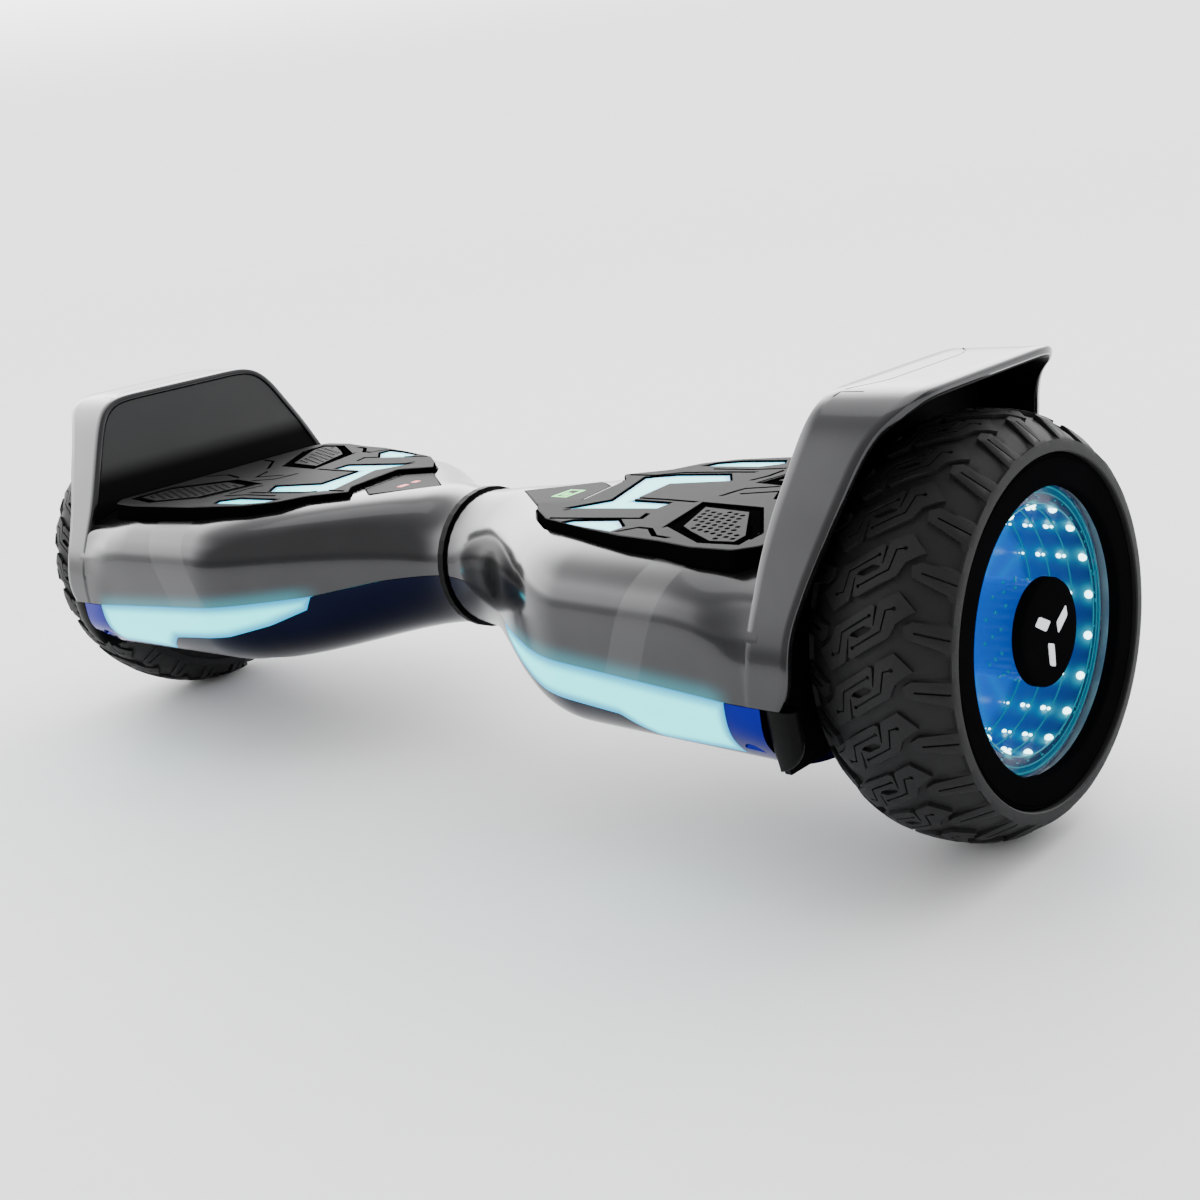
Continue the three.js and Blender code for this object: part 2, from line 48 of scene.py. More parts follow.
# ------------------------------------------------------------------ dimensions, as in the frame
GAP = 0.3
WALL = 3.0
WHEEL_R = 85.0
AXLE_Z = WHEEL_R
TYRE_X = 280.2
PIVOT_Z = 95.5
NECK_R = 34.0
NECK_X = 2.2
BODY_END_X = 243.0
DECK_Z = 131.0
BELLY_Z = 42.0
BODY_HALF_DEPTH = 98.0
PARTING = [(-5, 95.5), (40, 92), (73, 87), (225, 80), (320, 79)]
FENDER_FOOT_Y = 98.0
FENDER_TOP_Z = 188.0
FENDER_T = 3.5
FENDER_INNER_EDGE = [(236, 70), (238, 115), (238.3, 132), (241.3, 150), (244, 160), (250.3, 188), (251, 192)]
FENDER_OUTER_EDGE = [
    (247, 74), (251, 77.5), (254.5, 81.5), (257, 86), (257.3, 110), (262, 128), (270, 150), (277, 170),
    (284, 180), (296, 188), (296, 192),
]
FENDER_SLOPE = [
    (98, 76), (98, 86), (97.2, 95), (94.5, 106), (90, 115.5), (83, 130), (74, 150), (62.5, 173), (59, 178.5),
    (54, 184), (47, 187.2), (38, 188),
]
PAD_TOP_Z = 133.5
PAD_BOTTOM_Z = 123.3
TRAY_FLOOR_Z = 121.5
PAD_RIM = 1.2
SWITCH_X, SWITCH_Y = 162, 20
PAD_OUTLINE = [
    (68, -28), (80, -40), (97, -52), (130, -62), (157, -69), (180, -72), (201, -77), (222, -77), (230, -69),
    (230, 69), (222, 77), (201, 79), (153, 74), (115, 64), (100, 54), (92, 40), (72, 28), (82, 18), (89, -20),
]
PANEL_OUTLINE = [(32, -1), (65.5, -25), (82, -18.5), (76, 14), (63.5, 22)]
HEADLIGHT_FOOT = [(73, 86.8), (76, 80), (95, 73), (118, 68), (164, 64.5), (180, 54), (227, 56)]
HEADLIGHT_END_X = 225.5
UNDERGLOW_OUTLINE = [(112, -66), (224, -76), (224, -58), (112, -50)]
LIGHT_PLATE = [(90, 25), (96, -40), (112, -55), (130, -59.5), (147, -62.5), (147, 63), (120, 60), (104, 48)]
LIGHT_BARS = [
    [(90, 24), (106, -17), (98, -28), (93, -34), (140, -26), (140, -17), (116, -16), (112, 15), (141, 24),
     (132, 35), (104, 31)],
    [(112, -54.5), (130, -59.5), (146, -62.5), (147, -56), (136, -46.5), (114, -51.5)],
    [(106, 49), (137, 51), (146, 58), (143, 63), (120, 60), (109, 55)],
]
BUTTON_X, BUTTON_Z, BUTTON_R = -112, 70, 6
PORT_X, PORT_Z, PORT_R, PORT_FACE = -160, 69, 9, 93
SPEAKER_X, SPEAKER_Y = -125, 18
WELL_FLOOR_X = 272.0
WINDOW_X = 301.8


# ------------------------------------------------------------------ small maths
def clamp01(t):
    return min(1.0, max(0.0, t))


def smooth(t):
    t = clamp01(t)
    return t * t * (3 - 2 * t)


def mix(a, b, t):
    return a + (b - a) * t


def signed_power(value, power):
    return math.copysign(abs(value) ** power, value)


def value_on(line, at):
    """The second coordinate of a polyline at a place along its first, straight between its points."""
    for (a, fa), (b, fb) in zip(line, line[1:]):
        if at <= b:
            return mix(fa, fb, clamp01((at - a) / (b - a)))
    return line[-1][1]


def area_of(points):
    return sum(a[0] * b[1] - b[0] * a[1] for a, b in zip(points, points[1:] + points[:1])) / 2


def anticlockwise(points):
    return list(points) if area_of(list(points)) > 0 else list(reversed(points))


def grown(points, distance):
    """An anticlockwise outline with every edge moved outwards by a distance."""
    points = anticlockwise(points)
    result = []
    for i, (x, y) in enumerate(points):
        before, after = Vector(points[i - 1]), Vector(points[(i + 1) % len(points)])
        a = (Vector((x, y)) - before).normalized()
        b = (after - Vector((x, y))).normalized()
        normal = Vector((a.y + b.y, -a.x - b.x)).normalized()
        spread = max(0.5, normal.x * a.y - normal.y * a.x)
        result.append((x + normal.x * distance / spread, y + normal.y * distance / spread))
    return result


def rounded(points, radius, steps=3):
    """An outline with each corner turned into a short curve."""
    result = []
    for i, point in enumerate(points):
        here = Vector(point)
        to_before, to_after = Vector(points[i - 1]) - here, Vector(points[(i + 1) % len(points)]) - here
        reach = min(radius, to_before.length * 0.45, to_after.length * 0.45)
        start, end = here + to_before.normalized() * reach, here + to_after.normalized() * reach
        for k in range(steps + 1):
            t = k / steps
            result.append(tuple(start * (1 - t) ** 2 + here * 2 * t * (1 - t) + end * t * t))
    return result


def resampled(points, step):
    result = [points[0]]
    for a, b in zip(points, points[1:]):
        count = max(1, round((Vector(b) - Vector(a)).length / step))
        result += [(mix(a[0], b[0], k / count), mix(a[1], b[1], k / count)) for k in range(1, count + 1)]
    return result


def softened(points, rounds):
    """A polyline with its inner points drawn towards their neighbours, its ends kept."""
    for _ in range(rounds):
        middle = [
            (mix(p[0], (a[0] + b[0]) / 2, 0.5), mix(p[1], (a[1] + b[1]) / 2, 0.5))
            for a, p, b in zip(points, points[1:], points[2:])
        ]
        points = [points[0]] + middle + [points[-1]]
    return points


def inside(points, x, y):
    hit = False
    for (ax, ay), (bx, by) in zip(points, points[1:] + points[:1]):
        if (ay > y) != (by > y) and x < (bx - ax) * (y - ay) / (by - ay) + ax:
            hit = not hit
    return hit


def edge_distance(points, x, y):
    here = Vector((x, y))
    best = 1e9
    for a, b in zip(points, points[1:] + points[:1]):
        a, b = Vector(a), Vector(b)
        t = clamp01((here - a).dot(b - a) / (b - a).length_squared)
        best = min(best, (here - a - (b - a) * t).length)
    return best


def stroke(points, width):
    """The outline of a groove along a polyline, with slanted ends."""
    left, right = [], []
    flat = [Vector(p) for p in points]
    for i, p in enumerate(flat):
        a, b = flat[max(0, i - 1)], flat[min(len(flat) - 1, i + 1)]
        turns = [(q - r).normalized() for q, r in ((p, a), (b, p)) if (q - r).length > 0]
        along = sum(turns, Vector((0, 0))).normalized()
        spread = max(0.6, along.dot(turns[0]))
        side = Vector((-along.y, along.x)) * width / 2 / spread
        slant = along * width * 0.3 * (-1 if i == 0 else i == len(flat) - 1)
        left.append(tuple(p + side + slant))
        right.append(tuple(p - side - slant))
    return right + list(reversed(left))


# ------------------------------------------------------------------ mesh helpers
def solid(name, verts, faces, one_sided=False):
    """A mesh object from points in millimetres, its faces turned outwards, in the scene."""
    mesh = bpy.data.meshes.new(name)
    mesh.from_pydata([(x * MM, y * MM, z * MM) for x, y, z in verts], [], faces)
    work = bmesh.new()
    work.from_mesh(mesh)
    bmesh.ops.remove_doubles(work, verts=work.verts, dist=2e-6)
    if not one_sided:
        bmesh.ops.recalc_face_normals(work, faces=work.faces)
    work.to_mesh(mesh)
    work.free()
    piece = bpy.data.objects.new(name, mesh)
    bpy.context.scene.collection.objects.link(piece)
    return piece


PLACES = {
    "x": lambda u, v, w: (w, u, v),
    "y": lambda u, v, w: (u, w, v),
    "z": lambda u, v, w: (u, v, w),
}


def prism(points, axis, low, high, name="tool"):
    """An outline pushed along an axis: (y, z) points along x, (x, z) along y and (x, y) along z."""
    place = PLACES[axis]
    points = anticlockwise(points)
    count = len(points)
    verts = [place(u, v, low) for u, v in points] + [place(u, v, high) for u, v in points]
    faces = [list(range(count)), list(range(count, 2 * count))]
    faces += [[i, (i + 1) % count, count + (i + 1) % count, count + i] for i in range(count)]
    return solid(name, verts, faces)


def stack(name, layers, axis="z"):
    """A closed solid through outlines of the same number of points, each at its own height."""
    place = PLACES[axis]
    count = len(layers[0][0])
    verts = [place(u, v, height) for outline, height in layers for u, v in outline]
    faces = [list(range(count)), [len(verts) - count + i for i in range(count)]]
    for level in range(len(layers) - 1):
        a, b = level * count, (level + 1) * count
        faces += [[a + i, a + (i + 1) % count, b + (i + 1) % count, b + i] for i in range(count)]
    return solid(name, verts, faces)


def circle(u, v, r, steps=24):
    return [(u + r * math.cos(2 * math.pi * i / steps), v + r * math.sin(2 * math.pi * i / steps))
            for i in range(steps)]


def lathe(name, profile, z=AXLE_Z, steps=144, y=0.0):
    """A closed (x, radius) profile turned about a line along x. A radius of 0 closes on the axis."""
    verts, rows = [], []
    for x, r in profile:
        if r == 0:
            rows.append([len(verts)] * steps)
            verts.append((x, y, z))
            continue
        rows.append(list(range(len(verts), len(verts) + steps)))
        angles = (2 * math.pi * k / steps for k in range(steps))
        verts += [(x, y + r * math.cos(a), z + r * math.sin(a)) for a in angles]
    faces = []
    for i, row in enumerate(rows):
        after = rows[(i + 1) % len(rows)]
        for k in range(steps):
            face = [row[k], row[(k + 1) % steps], after[(k + 1) % steps], after[k]]
            face = list(dict.fromkeys(face))
            if len(face) > 2:
                faces.append(face)
    return solid(name, verts, faces)


def loft(name, rows):
    """A closed tube through rings of points, with flat ends."""
    around = len(rows[0])
    verts = [point for row in rows for point in row]
    faces = [list(range(around)), [len(verts) - around + i for i in range(around)]]
    for i in range(len(rows) - 1):
        for j in range(around):
            a, b = i * around + j, i * around + (j + 1) % around
            faces.append([a, b, b + around, a + around])
    return solid(name, verts, faces)


def combine(piece, tool, operation):
    step = piece.modifiers.new("step", "BOOLEAN")
    step.operation = operation
    step.solver = "MANIFOLD"
    step.object = tool
    finished = bpy.data.meshes.new_from_object(piece.evaluated_get(bpy.context.evaluated_depsgraph_get()))
    piece.modifiers.clear()
    piece.data = finished
    bpy.data.objects.remove(tool)
    return piece


def cut(piece, *tools):
    for tool in tools:
        combine(piece, tool, "DIFFERENCE")
    return piece


def merged(piece, *others):
    for other in others:
        combine(piece, other, "UNION")
    return piece


def kept_in(piece, *tools):
    for tool in tools:
        combine(piece, tool, "INTERSECT")
    return piece


def shade(piece, degrees=32):
    piece.data.shade_smooth()
    piece.data.set_sharp_from_angle(angle=math.radians(degrees))
    return piece


def turned_copy(piece, name):
    """The same moulding turned half a turn about the vertical."""
    copy = bpy.data.objects.new(name, piece.data.copy())
    copy.data.transform(Matrix.Rotation(math.pi, 4, "Z"))
    bpy.context.scene.collection.objects.link(copy)
    return copy


def mirrored_copy(piece, name):
    copy = bpy.data.objects.new(name, piece.data.copy())
    copy.data.transform(Matrix.Scale(-1, 4, (1, 0, 0)))
    copy.data.flip_normals()
    bpy.context.scene.collection.objects.link(copy)
    return copy


def joined(name, pieces):
    """One object out of several loose ones that share a finish."""
    work = bmesh.new()
    for piece in pieces:
        work.from_mesh(piece.data)
        bpy.data.objects.remove(piece)
    mesh = bpy.data.meshes.new(name)
    work.to_mesh(mesh)
    work.free()
    piece = bpy.data.objects.new(name, mesh)
    bpy.context.scene.collection.objects.link(piece)
    return piece


def place(piece, material, body, slot, *replaced):
    piece.data.materials.clear()
    piece.data.materials.append(material)
    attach(piece, body)
    if replaced:
        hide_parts(*replaced)
    return piece


def both_sides(right_piece, copier, material, body, slot, node=None):
    """Places a right-hand piece and its left-hand twin, each standing for the same node on its side."""
    name = right_piece.name.removeprefix("right_")
    left_piece = copier(right_piece, "left_" + name)
    for side, piece in (("right", right_piece), ("left", left_piece)):
        replaced = [f"{side}_{node}"] if node else []
        place(piece, material, f"{side}_{body}", slot, *replaced)


# ------------------------------------------------------------------ finishes
class Nodes:
    """A node tree, with the few operations that the finishes and the sky are built from."""

    def __init__(self, tree, coordinates):
        self.tree = tree
        self.where = self.add("ShaderNodeTexCoord").outputs[coordinates]

    def add(self, kind):
        return self.tree.nodes.new(kind)

    def feed(self, socket, value):
        """Gives a socket a number, a colour or another node's output."""
        if isinstance(value, tuple):
            socket.default_value = (*value, 1)
        elif isinstance(value, (int, float)):
            socket.default_value = value
        else:
            self.tree.links.new(value, socket)

    def split(self, vector):
        parts = self.add("ShaderNodeSeparateXYZ")
        self.feed(parts.inputs[0], vector)
        return parts.outputs["X"], parts.outputs["Y"], parts.outputs["Z"]

    def maths(self, operation, a, b=0.0):
        node = self.add("ShaderNodeMath")
        node.operation = operation
        self.feed(node.inputs[0], a)
        self.feed(node.inputs[1], b)
        return node.outputs[0]

    def ramp(self, value, low, high):
        """0 below `low`, 1 above `high` and a smooth step between them."""
        node = self.add("ShaderNodeMapRange")
        node.interpolation_type = "SMOOTHSTEP"
        for name, setting in (("Value", value), ("From Min", low), ("From Max", high)):
            self.feed(node.inputs[name], setting)
        return node.outputs["Result"]

    def noise(self, size, detail=3.0):
        """Noise with features about `size` metres across."""
        texture = self.add("ShaderNodeTexNoise")
        for name, setting in (("Scale", 1.0 / size), ("Detail", detail), ("Vector", self.where)):
            self.feed(texture.inputs[name], setting)
        return texture.outputs["Fac"]

    def blend(self, factor, low, high):
        """Mixes two colours by a 0 to 1 factor."""
        node = self.add("ShaderNodeMix")
        node.data_type = "RGBA"
        for index, value in (("Factor", factor), (6, low), (7, high)):
            self.feed(node.inputs[index], value)
        return node.outputs[2]

    def scale(self, factor, low, high):
        """Maps a 0 to 1 factor to a range of numbers."""
        node = self.add("ShaderNodeMapRange")
        for name, setting in (("Value", factor), ("To Min", low), ("To Max", high)):
            self.feed(node.inputs[name], setting)
        return node.outputs["Result"]


class Finish(Nodes):
    """A node material on object coordinates, with its shader's inputs given by name."""

    def __init__(self, name):
        self.material = bpy.data.materials.new(name)
        self.material.use_nodes = True
        super().__init__(self.material.node_tree, "Object")
        self.shader = self.tree.nodes["Principled BSDF"]

    def set(self, **inputs):
        for name, value in inputs.items():
            self.feed(self.shader.inputs[SHADER_INPUTS[name]], value)

    def bump(self, height, strength, distance=0.0001):
        node = self.add("ShaderNodeBump")
        for name, setting in (("Strength", strength), ("Distance", distance), ("Height", height)):
            self.feed(node.inputs[name], setting)
        self.feed(self.shader.inputs["Normal"], node.outputs["Normal"])

    def attribute(self, name, output):
        node = self.add("ShaderNodeAttribute")
        node.attribute_name = name
        return node.outputs[output]


SHADER_INPUTS = {
    "base": "Base Color", "rough": "Roughness", "metal": "Metallic", "shine": "Specular IOR Level",
    "coat": "Coat Weight", "coat_rough": "Coat Roughness", "alpha": "Alpha", "glow": "Emission Color",
    "power": "Emission Strength",
}


def plain(name, dark, light, rough, metal=0.0, grain=0.0004, relief=0.1, shine=0.5):
    """A surface with mottled colour, uneven gloss and a fine grain in its relief."""
    finish = Finish(name)
    fine = finish.noise(grain)
    finish.set(base=finish.blend(finish.noise(0.03), dark, light), rough=finish.scale(fine, *rough),
               metal=metal, shine=shine)
    finish.bump(fine, relief)
    return finish.material


def glowing(name, core, edge, power, body_colour=(0.6, 0.9, 0.95)):
    """A lit diffuser: the `glow` attribute runs from 0 at its edge to 1 in its core."""
    finish = Finish(name)
    mottle = finish.scale(finish.noise(0.006), 0.9, 1.1)
    uneven = finish.maths("MULTIPLY", finish.attribute("glow", "Fac"), mottle)
    finish.set(base=body_colour, rough=0.35, glow=finish.blend(uneven, edge, core),
               power=finish.scale(uneven, power * 0.75, power))
    return finish.material


def shell_material():
    """Glossy gunmetal with a fine flake, a satin stripe down each half and a painted glow above its
    headlight, as if the headlight lit the shell.
    """
    finish = Finish("gunmetal_gloss")
    maths, ramp = finish.maths, finish.ramp
    x, y, z = finish.split(finish.where)
    across = maths("ABSOLUTE", x)
    rise = maths("DIVIDE", maths("SUBTRACT", z, STRIPE_FOOT_Z), STRIPE_RISE)
    handed = maths("LESS_THAN", maths("MULTIPLY", x, y), 0.0)
    foot = maths("ADD", maths("MULTIPLY", handed, 0.028), 0.147)
    lean = maths("ADD", maths("MULTIPLY", handed, -0.002), 0.018)
    half = maths("ADD", maths("MULTIPLY", handed, -0.005), 0.0145)
    centre = maths("ADD", maths("MULTIPLY", rise, lean), foot)
    stripe = maths("LESS_THAN", maths("ABSOLUTE", maths("SUBTRACT", across, centre)), half)
    haze = finish.noise(0.02, 4.0)
    gloss = finish.scale(finish.noise(0.00025, 2.0), 0.13, 0.19)
    # Painted light: a teal emission on the shell just above the headlight stands in for the headlight's light
    # falling on it; the shell is no lamp.
    parting = maths("SUBTRACT", 0.0904, maths("MULTIPLY", across, 0.046))
    painted_glow_falloff = maths("SUBTRACT", 1.0, ramp(maths("SUBTRACT", z, parting), 0.0, PAINTED_GLOW_DEPTH))
    span = maths("MULTIPLY", ramp(across, 0.066, 0.085), maths("SUBTRACT", 1.0, ramp(across, 0.216, 0.232)))
    on_front = maths("MULTIPLY", span, maths("LESS_THAN", y, -0.05))
    painted_headlight_glow = maths("MULTIPLY", maths("MULTIPLY", painted_glow_falloff, painted_glow_falloff), on_front)
    finish.set(base=finish.blend(stripe, finish.blend(haze, SHELL_DARK, SHELL_LIGHT), SHELL_STRIPE),
               rough=maths("ADD", gloss, maths("MULTIPLY", stripe, 0.1)), metal=0.92, coat=0.25,
               coat_rough=0.06, glow=(0.0, 0.5, 0.62), power=maths("MULTIPLY", painted_headlight_glow, PAINTED_GLOW_POWER))
    finish.bump(haze, 0.04, 0.0002)
    return finish.material


def belly_material():
    """Blue-black gloss that turns a clear blue on the end piece beside each wheel."""
    finish = Finish("navy_gloss")
    ends = finish.ramp(finish.maths("ABSOLUTE", finish.split(finish.where)[0]), 0.216, 0.230)
    haze = finish.noise(0.02)
    body = finish.blend(haze, (0.003, 0.004, 0.012), (0.005, 0.006, 0.020))
    finish.set(base=finish.blend(ends, body, (0.006, 0.008, 0.20)), metal=0.97,
               rough=finish.scale(finish.noise(0.0003), 0.12, 0.2))
    finish.bump(haze, 0.03, 0.0002)
    return finish.material


def pad_material():
    """Grey moulded rubber, darker outwards, and black with painted shade in its grooves and down its sides.
    """
    finish = Finish("pad_rubber")
    x, _, z = finish.split(finish.where)
    # Painted shade: everything below the top face is black and without shine, as shade in the grooves, slots,
    # the patches' moats and down the sides.
    above_painted_shade = finish.maths("GREATER_THAN", z, (PAD_TOP_Z - 0.3) * MM)
    grain = finish.noise(0.0005)
    outwards = finish.ramp(finish.maths("ABSOLUTE", x), 0.10, 0.23)
    darker = finish.maths("ADD", finish.maths("MULTIPLY", finish.noise(0.02), 0.3),
                          finish.maths("MULTIPLY", outwards, 0.6))
    surface = finish.blend(darker, (0.024, 0.024, 0.0245), (0.011, 0.011, 0.0115))
    finish.set(base=finish.blend(above_painted_shade, (0.0015, 0.0015, 0.0015), surface),
               rough=finish.scale(grain, 0.5, 0.65), shine=finish.scale(above_painted_shade, 0.0, 0.04))
    finish.bump(grain, 0.25)
    return finish.material


def wall_material():
    """Matte charcoal that fades to black low down, a painted reflection of the dark pad and deck, and is
    black on the side towards the wheel.
    """
    finish = Finish("matte_charcoal")
    x, _, z = finish.split(finish.where)
    facing_x = finish.split(finish.add("ShaderNodeNewGeometry").outputs["Normal"])[0]
    foot_side = finish.maths("LESS_THAN", finish.maths("MULTIPLY", facing_x, x), 0.0)
    # Painted reflection: black below about 0.15 m, as the dark pad and deck reflected in the panel's lower
    # part, with less shine there.
    factor = finish.maths("MULTIPLY", finish.ramp(z, 0.141, 0.154), foot_side)
    grain = finish.noise(0.0006)
    charcoal = finish.blend(finish.noise(0.03), (0.020, 0.020, 0.021), (0.025, 0.025, 0.026))
    finish.set(base=finish.blend(factor, (0.002, 0.002, 0.002), charcoal),
               rough=finish.scale(grain, 0.5, 0.62), shine=finish.scale(factor, 0.03, 0.25))
    finish.bump(grain, 0.1)
    return finish.material


def well_material():
    """The wheel's well, with painted light: the LEDs' blue light and cyan pools are worked out point by point
    into the `glow_colour` attribute and given off as emission.
    """
    finish = Finish("well_glow")
    finish.set(base=(0.01, 0.03, 0.08), rough=0.25, glow=finish.attribute("glow_colour", "Color"), power=1.0)
    return finish.material


def clear_material():
    finish = Finish("smoked_clear")
    finish.set(base=(0.0, 0.004, 0.01), shine=0.05, alpha=0.06,
               rough=finish.scale(finish.noise(0.01), 0.02, 0.06))
    return finish.material


STRIPE_FOOT_Z, STRIPE_RISE = 0.092, 0.038
# Depth and strength of the painted headlight light on the shell.
PAINTED_GLOW_DEPTH, PAINTED_GLOW_POWER = 0.011, 0.45
SHELL_DARK, SHELL_LIGHT, SHELL_STRIPE = (0.036, 0.036, 0.038), (0.046, 0.046, 0.048), (0.058, 0.058, 0.060)
MATERIALS = {
    "shell": shell_material(),
    "wall": wall_material(),
    "rubber": pad_material(),
    "belly": belly_material(),
    "tyre": plain("tyre_rubber", (0.011, 0.011, 0.0115), (0.015, 0.015, 0.0155), (0.5, 0.7), grain=0.0007,
                  relief=0.3, shine=0.16),
    "black": plain("soft_black", (0.0015, 0.0015, 0.0015), (0.003, 0.003, 0.003), (0.35, 0.5), shine=0.06),
    "gloss": plain("gloss_black", (0.002, 0.002, 0.0022), (0.0035, 0.0035, 0.004), (0.2, 0.28), relief=0.02,
                   shine=0.0),
    "panel": plain("panel_black", (0.014, 0.014, 0.0145), (0.018, 0.018, 0.0185), (0.4, 0.5), relief=0.05,
                   shine=0.02),
    "steel": plain("steel", (0.42, 0.43, 0.45), (0.5, 0.51, 0.53), (0.25, 0.4), metal=1.0),
    "aluminium": plain("cast_aluminium", (0.55, 0.56, 0.58), (0.64, 0.65, 0.67), (0.35, 0.5), metal=1.0,
                       grain=0.0009, relief=0.3),
    "copper": plain("copper_winding", (0.5, 0.2, 0.09), (0.62, 0.27, 0.12), (0.3, 0.45), metal=1.0,
                    relief=0.4),
    "bronze": plain("bronze", (0.5, 0.33, 0.12), (0.58, 0.4, 0.16), (0.3, 0.4), metal=1.0),
    "board": plain("circuit_board", (0.01, 0.07, 0.03), (0.02, 0.11, 0.05), (0.3, 0.5), grain=0.001),
    "battery": plain("battery_wrap", (0.02, 0.06, 0.25), (0.03, 0.08, 0.32), (0.3, 0.45)),
    "cover": plain("soft_cover", (0.018, 0.018, 0.019), (0.026, 0.026, 0.027), (0.5, 0.65)),
    "mark": plain("mark_white", (0.75, 0.77, 0.8), (0.82, 0.84, 0.87), (0.3, 0.4)),
    "diffuser": plain("smoked_diffuser", (0.25, 0.3, 0.33), (0.32, 0.38, 0.42), (0.3, 0.45)),
    "light": glowing("cyan_light", (0.06, 1.0, 1.0), (0.0, 0.30, 0.56), 2.6, (0.0, 0.06, 0.09)),
    "dot": glowing("white_dots", (0.6, 1.0, 1.0), (0.2, 0.9, 1.0), 6.0),
    "line": glowing("cyan_lines", (0.0, 0.5, 0.62), (0.0, 0.42, 0.55), 0.42, (0.0, 0.1, 0.15)),
    "green": glowing("green_icon", (0.0, 0.9, 0.05), (0.0, 0.6, 0.03), 2.0, (0.0, 0.2, 0.02)),
    "red": glowing("red_icon", (1.0, 0.01, 0.01), (0.8, 0.01, 0.01), 2.0, (0.2, 0.0, 0.0)),
    "well": well_material(),
    "clear": clear_material(),
}


# ------------------------------------------------------------------ camera
def make_camera():
    lens = bpy.data.cameras.new("camera")
    lens.lens = 49.14
    lens.sensor_width = 36.0
    lens.clip_start = 0.01
    camera = bpy.data.objects.new("camera", lens)
    azimuth, elevation, roll = (math.radians(a) for a in (45.08, 15.24, -8.49))
    forward = Vector((-math.sin(azimuth) * math.cos(elevation), math.cos(azimuth) * math.cos(elevation),
                      -math.sin(elevation)))
    level = Vector((math.cos(azimuth), math.sin(azimuth), 0))
    upward = level.cross(forward)
    right = level * math.cos(roll) + upward * math.sin(roll)
    up = upward * math.cos(roll) - level * math.sin(roll)
    camera.matrix_world = Matrix((right, up, -forward)).transposed().to_4x4()
    camera.location = (0.6095, -0.5367, 0.2851)
    bpy.context.scene.collection.objects.link(camera)
    bpy.context.scene.camera = camera


make_camera()


# ------------------------------------------------------------------ the outer skin of one half
def section(x):
    shoulder = BODY_HALF_DEPTH - NECK_R - 8
    depth = NECK_R + shoulder * smooth((x - 5) / 130) + 8 * clamp01((x - 100) / 140)
    top = mix(PIVOT_Z + NECK_R, DECK_Z, smooth(x / 30))
    bottom = mix(PIVOT_Z - NECK_R, BELLY_Z, smooth(x / 135))
    power_above = 2 + 2.3 * smooth(x / 120) - 0.9 * smooth((x - 195) / 45)
    return depth, top, bottom, power_above, 2 + 1.2 * smooth(x / 120)


def flared(x, y, z, inset):
    """Moves a point of the skin to meet the fender's foot, low down beside the wheel."""
    weight = smooth((x - 212) / 26) * (1 - smooth((z - 114) / 11)) * smooth((z - 58) / 20)
    target = value_on([(z_, y_) for y_, z_ in FENDER_SLOPE], z) - 0.25 - inset
    if abs(y) < 50 or weight <= 0:
        return y
    return math.copysign(mix(abs(y), target, weight), y)


def skin(x0, x1, inset, steps=96, around=168, name="skin"):
    rows = []
    for i in range(steps + 1):
        x = mix(x0, x1, i / steps)
        depth, top, bottom, power_above, power_below = section(x)
        middle, height = (top + bottom) / 2, (top - bottom) / 2 - inset
        row = []
        for j in range(around):
            angle = 2 * math.pi * j / around
            power = power_above if math.sin(angle) > 0 else power_below
            y = (depth - inset) * signed_power(math.cos(angle), 2 / power)
            z = middle + height * signed_power(math.sin(angle), 2 / power)
            row.append((x, flared(x, y, z, inset), z))
        rows.append(row)
    return loft(name, rows)


def skin_front(x, z, inset=0.0):
    """The front face's y at a place on the skin."""
    depth, top, bottom, power_above, power_below = section(x)
    power = power_above if z > (top + bottom) / 2 else power_below
    s = clamp01(abs(z - (top + bottom) / 2) / ((top - bottom) / 2 - inset))
    return flared(x, -(depth - inset) * (1 - s ** power) ** (1 / power), z, inset)


def below_parting(clearance):
    line = [(x, z - clearance) for x, z in PARTING]
    return prism([(-5, -20), (320, -20)] + list(reversed(line)), "y", -130, 130)


# ------------------------------------------------------------------ the fender over a wheel
def fender_path():
    points = [(-y, z) for y, z in FENDER_SLOPE] + list(reversed(FENDER_SLOPE))
    return softened(resampled(points, 2.5), 8)


PATH = fender_path()


def path_normals():
    normals = []
    for i in range(len(PATH)):
        a, b = PATH[max(0, i - 1)], PATH[min(len(PATH) - 1, i + 1)]
        length = math.hypot(b[0] - a[0], b[1] - a[1])
        normals.append((-(b[1] - a[1]) / length, (b[0] - a[0]) / length))
    return normals


def shrunk_path(distance):
    return [(y - n[0] * distance, z - n[1] * distance) for (y, z), n in zip(PATH, path_normals())]


def edge_at(line, z):
    """Where an edge of the fender stands at a height, with its corners eased."""
    table = [(z_, x_) for x_, z_ in line]
    return sum(value_on(table, z + d) for d in (-6, -3, 0, 3, 6)) / 5


def fender_band():
    edge_r = 1.1
    rows = []
    for (y, z), (ny, nz) in zip(PATH, path_normals()):
        a, b = edge_at(FENDER_INNER_EDGE, z), edge_at(FENDER_OUTER_EDGE, z)
        ring = [(a, -edge_r), (a + 0.3 * edge_r, -0.3 * edge_r), (a + edge_r, 0)]
        ring += [(mix(a + edge_r, b - edge_r, t / 8), 0) for t in range(1, 9)]
        ring += [(b - 0.3 * edge_r, -0.3 * edge_r), (b, -edge_r), (b, 0.6 - FENDER_T), (b - 0.6, -FENDER_T)]
        ring += [(mix(b - 0.6, a + 0.6, t / 6), -FENDER_T) for t in range(1, 7)] + [(a, 0.6 - FENDER_T)]
        rows.append([(x, y + ny * n, z + nz * n) for x, n in ring])
    return loft("band", rows)


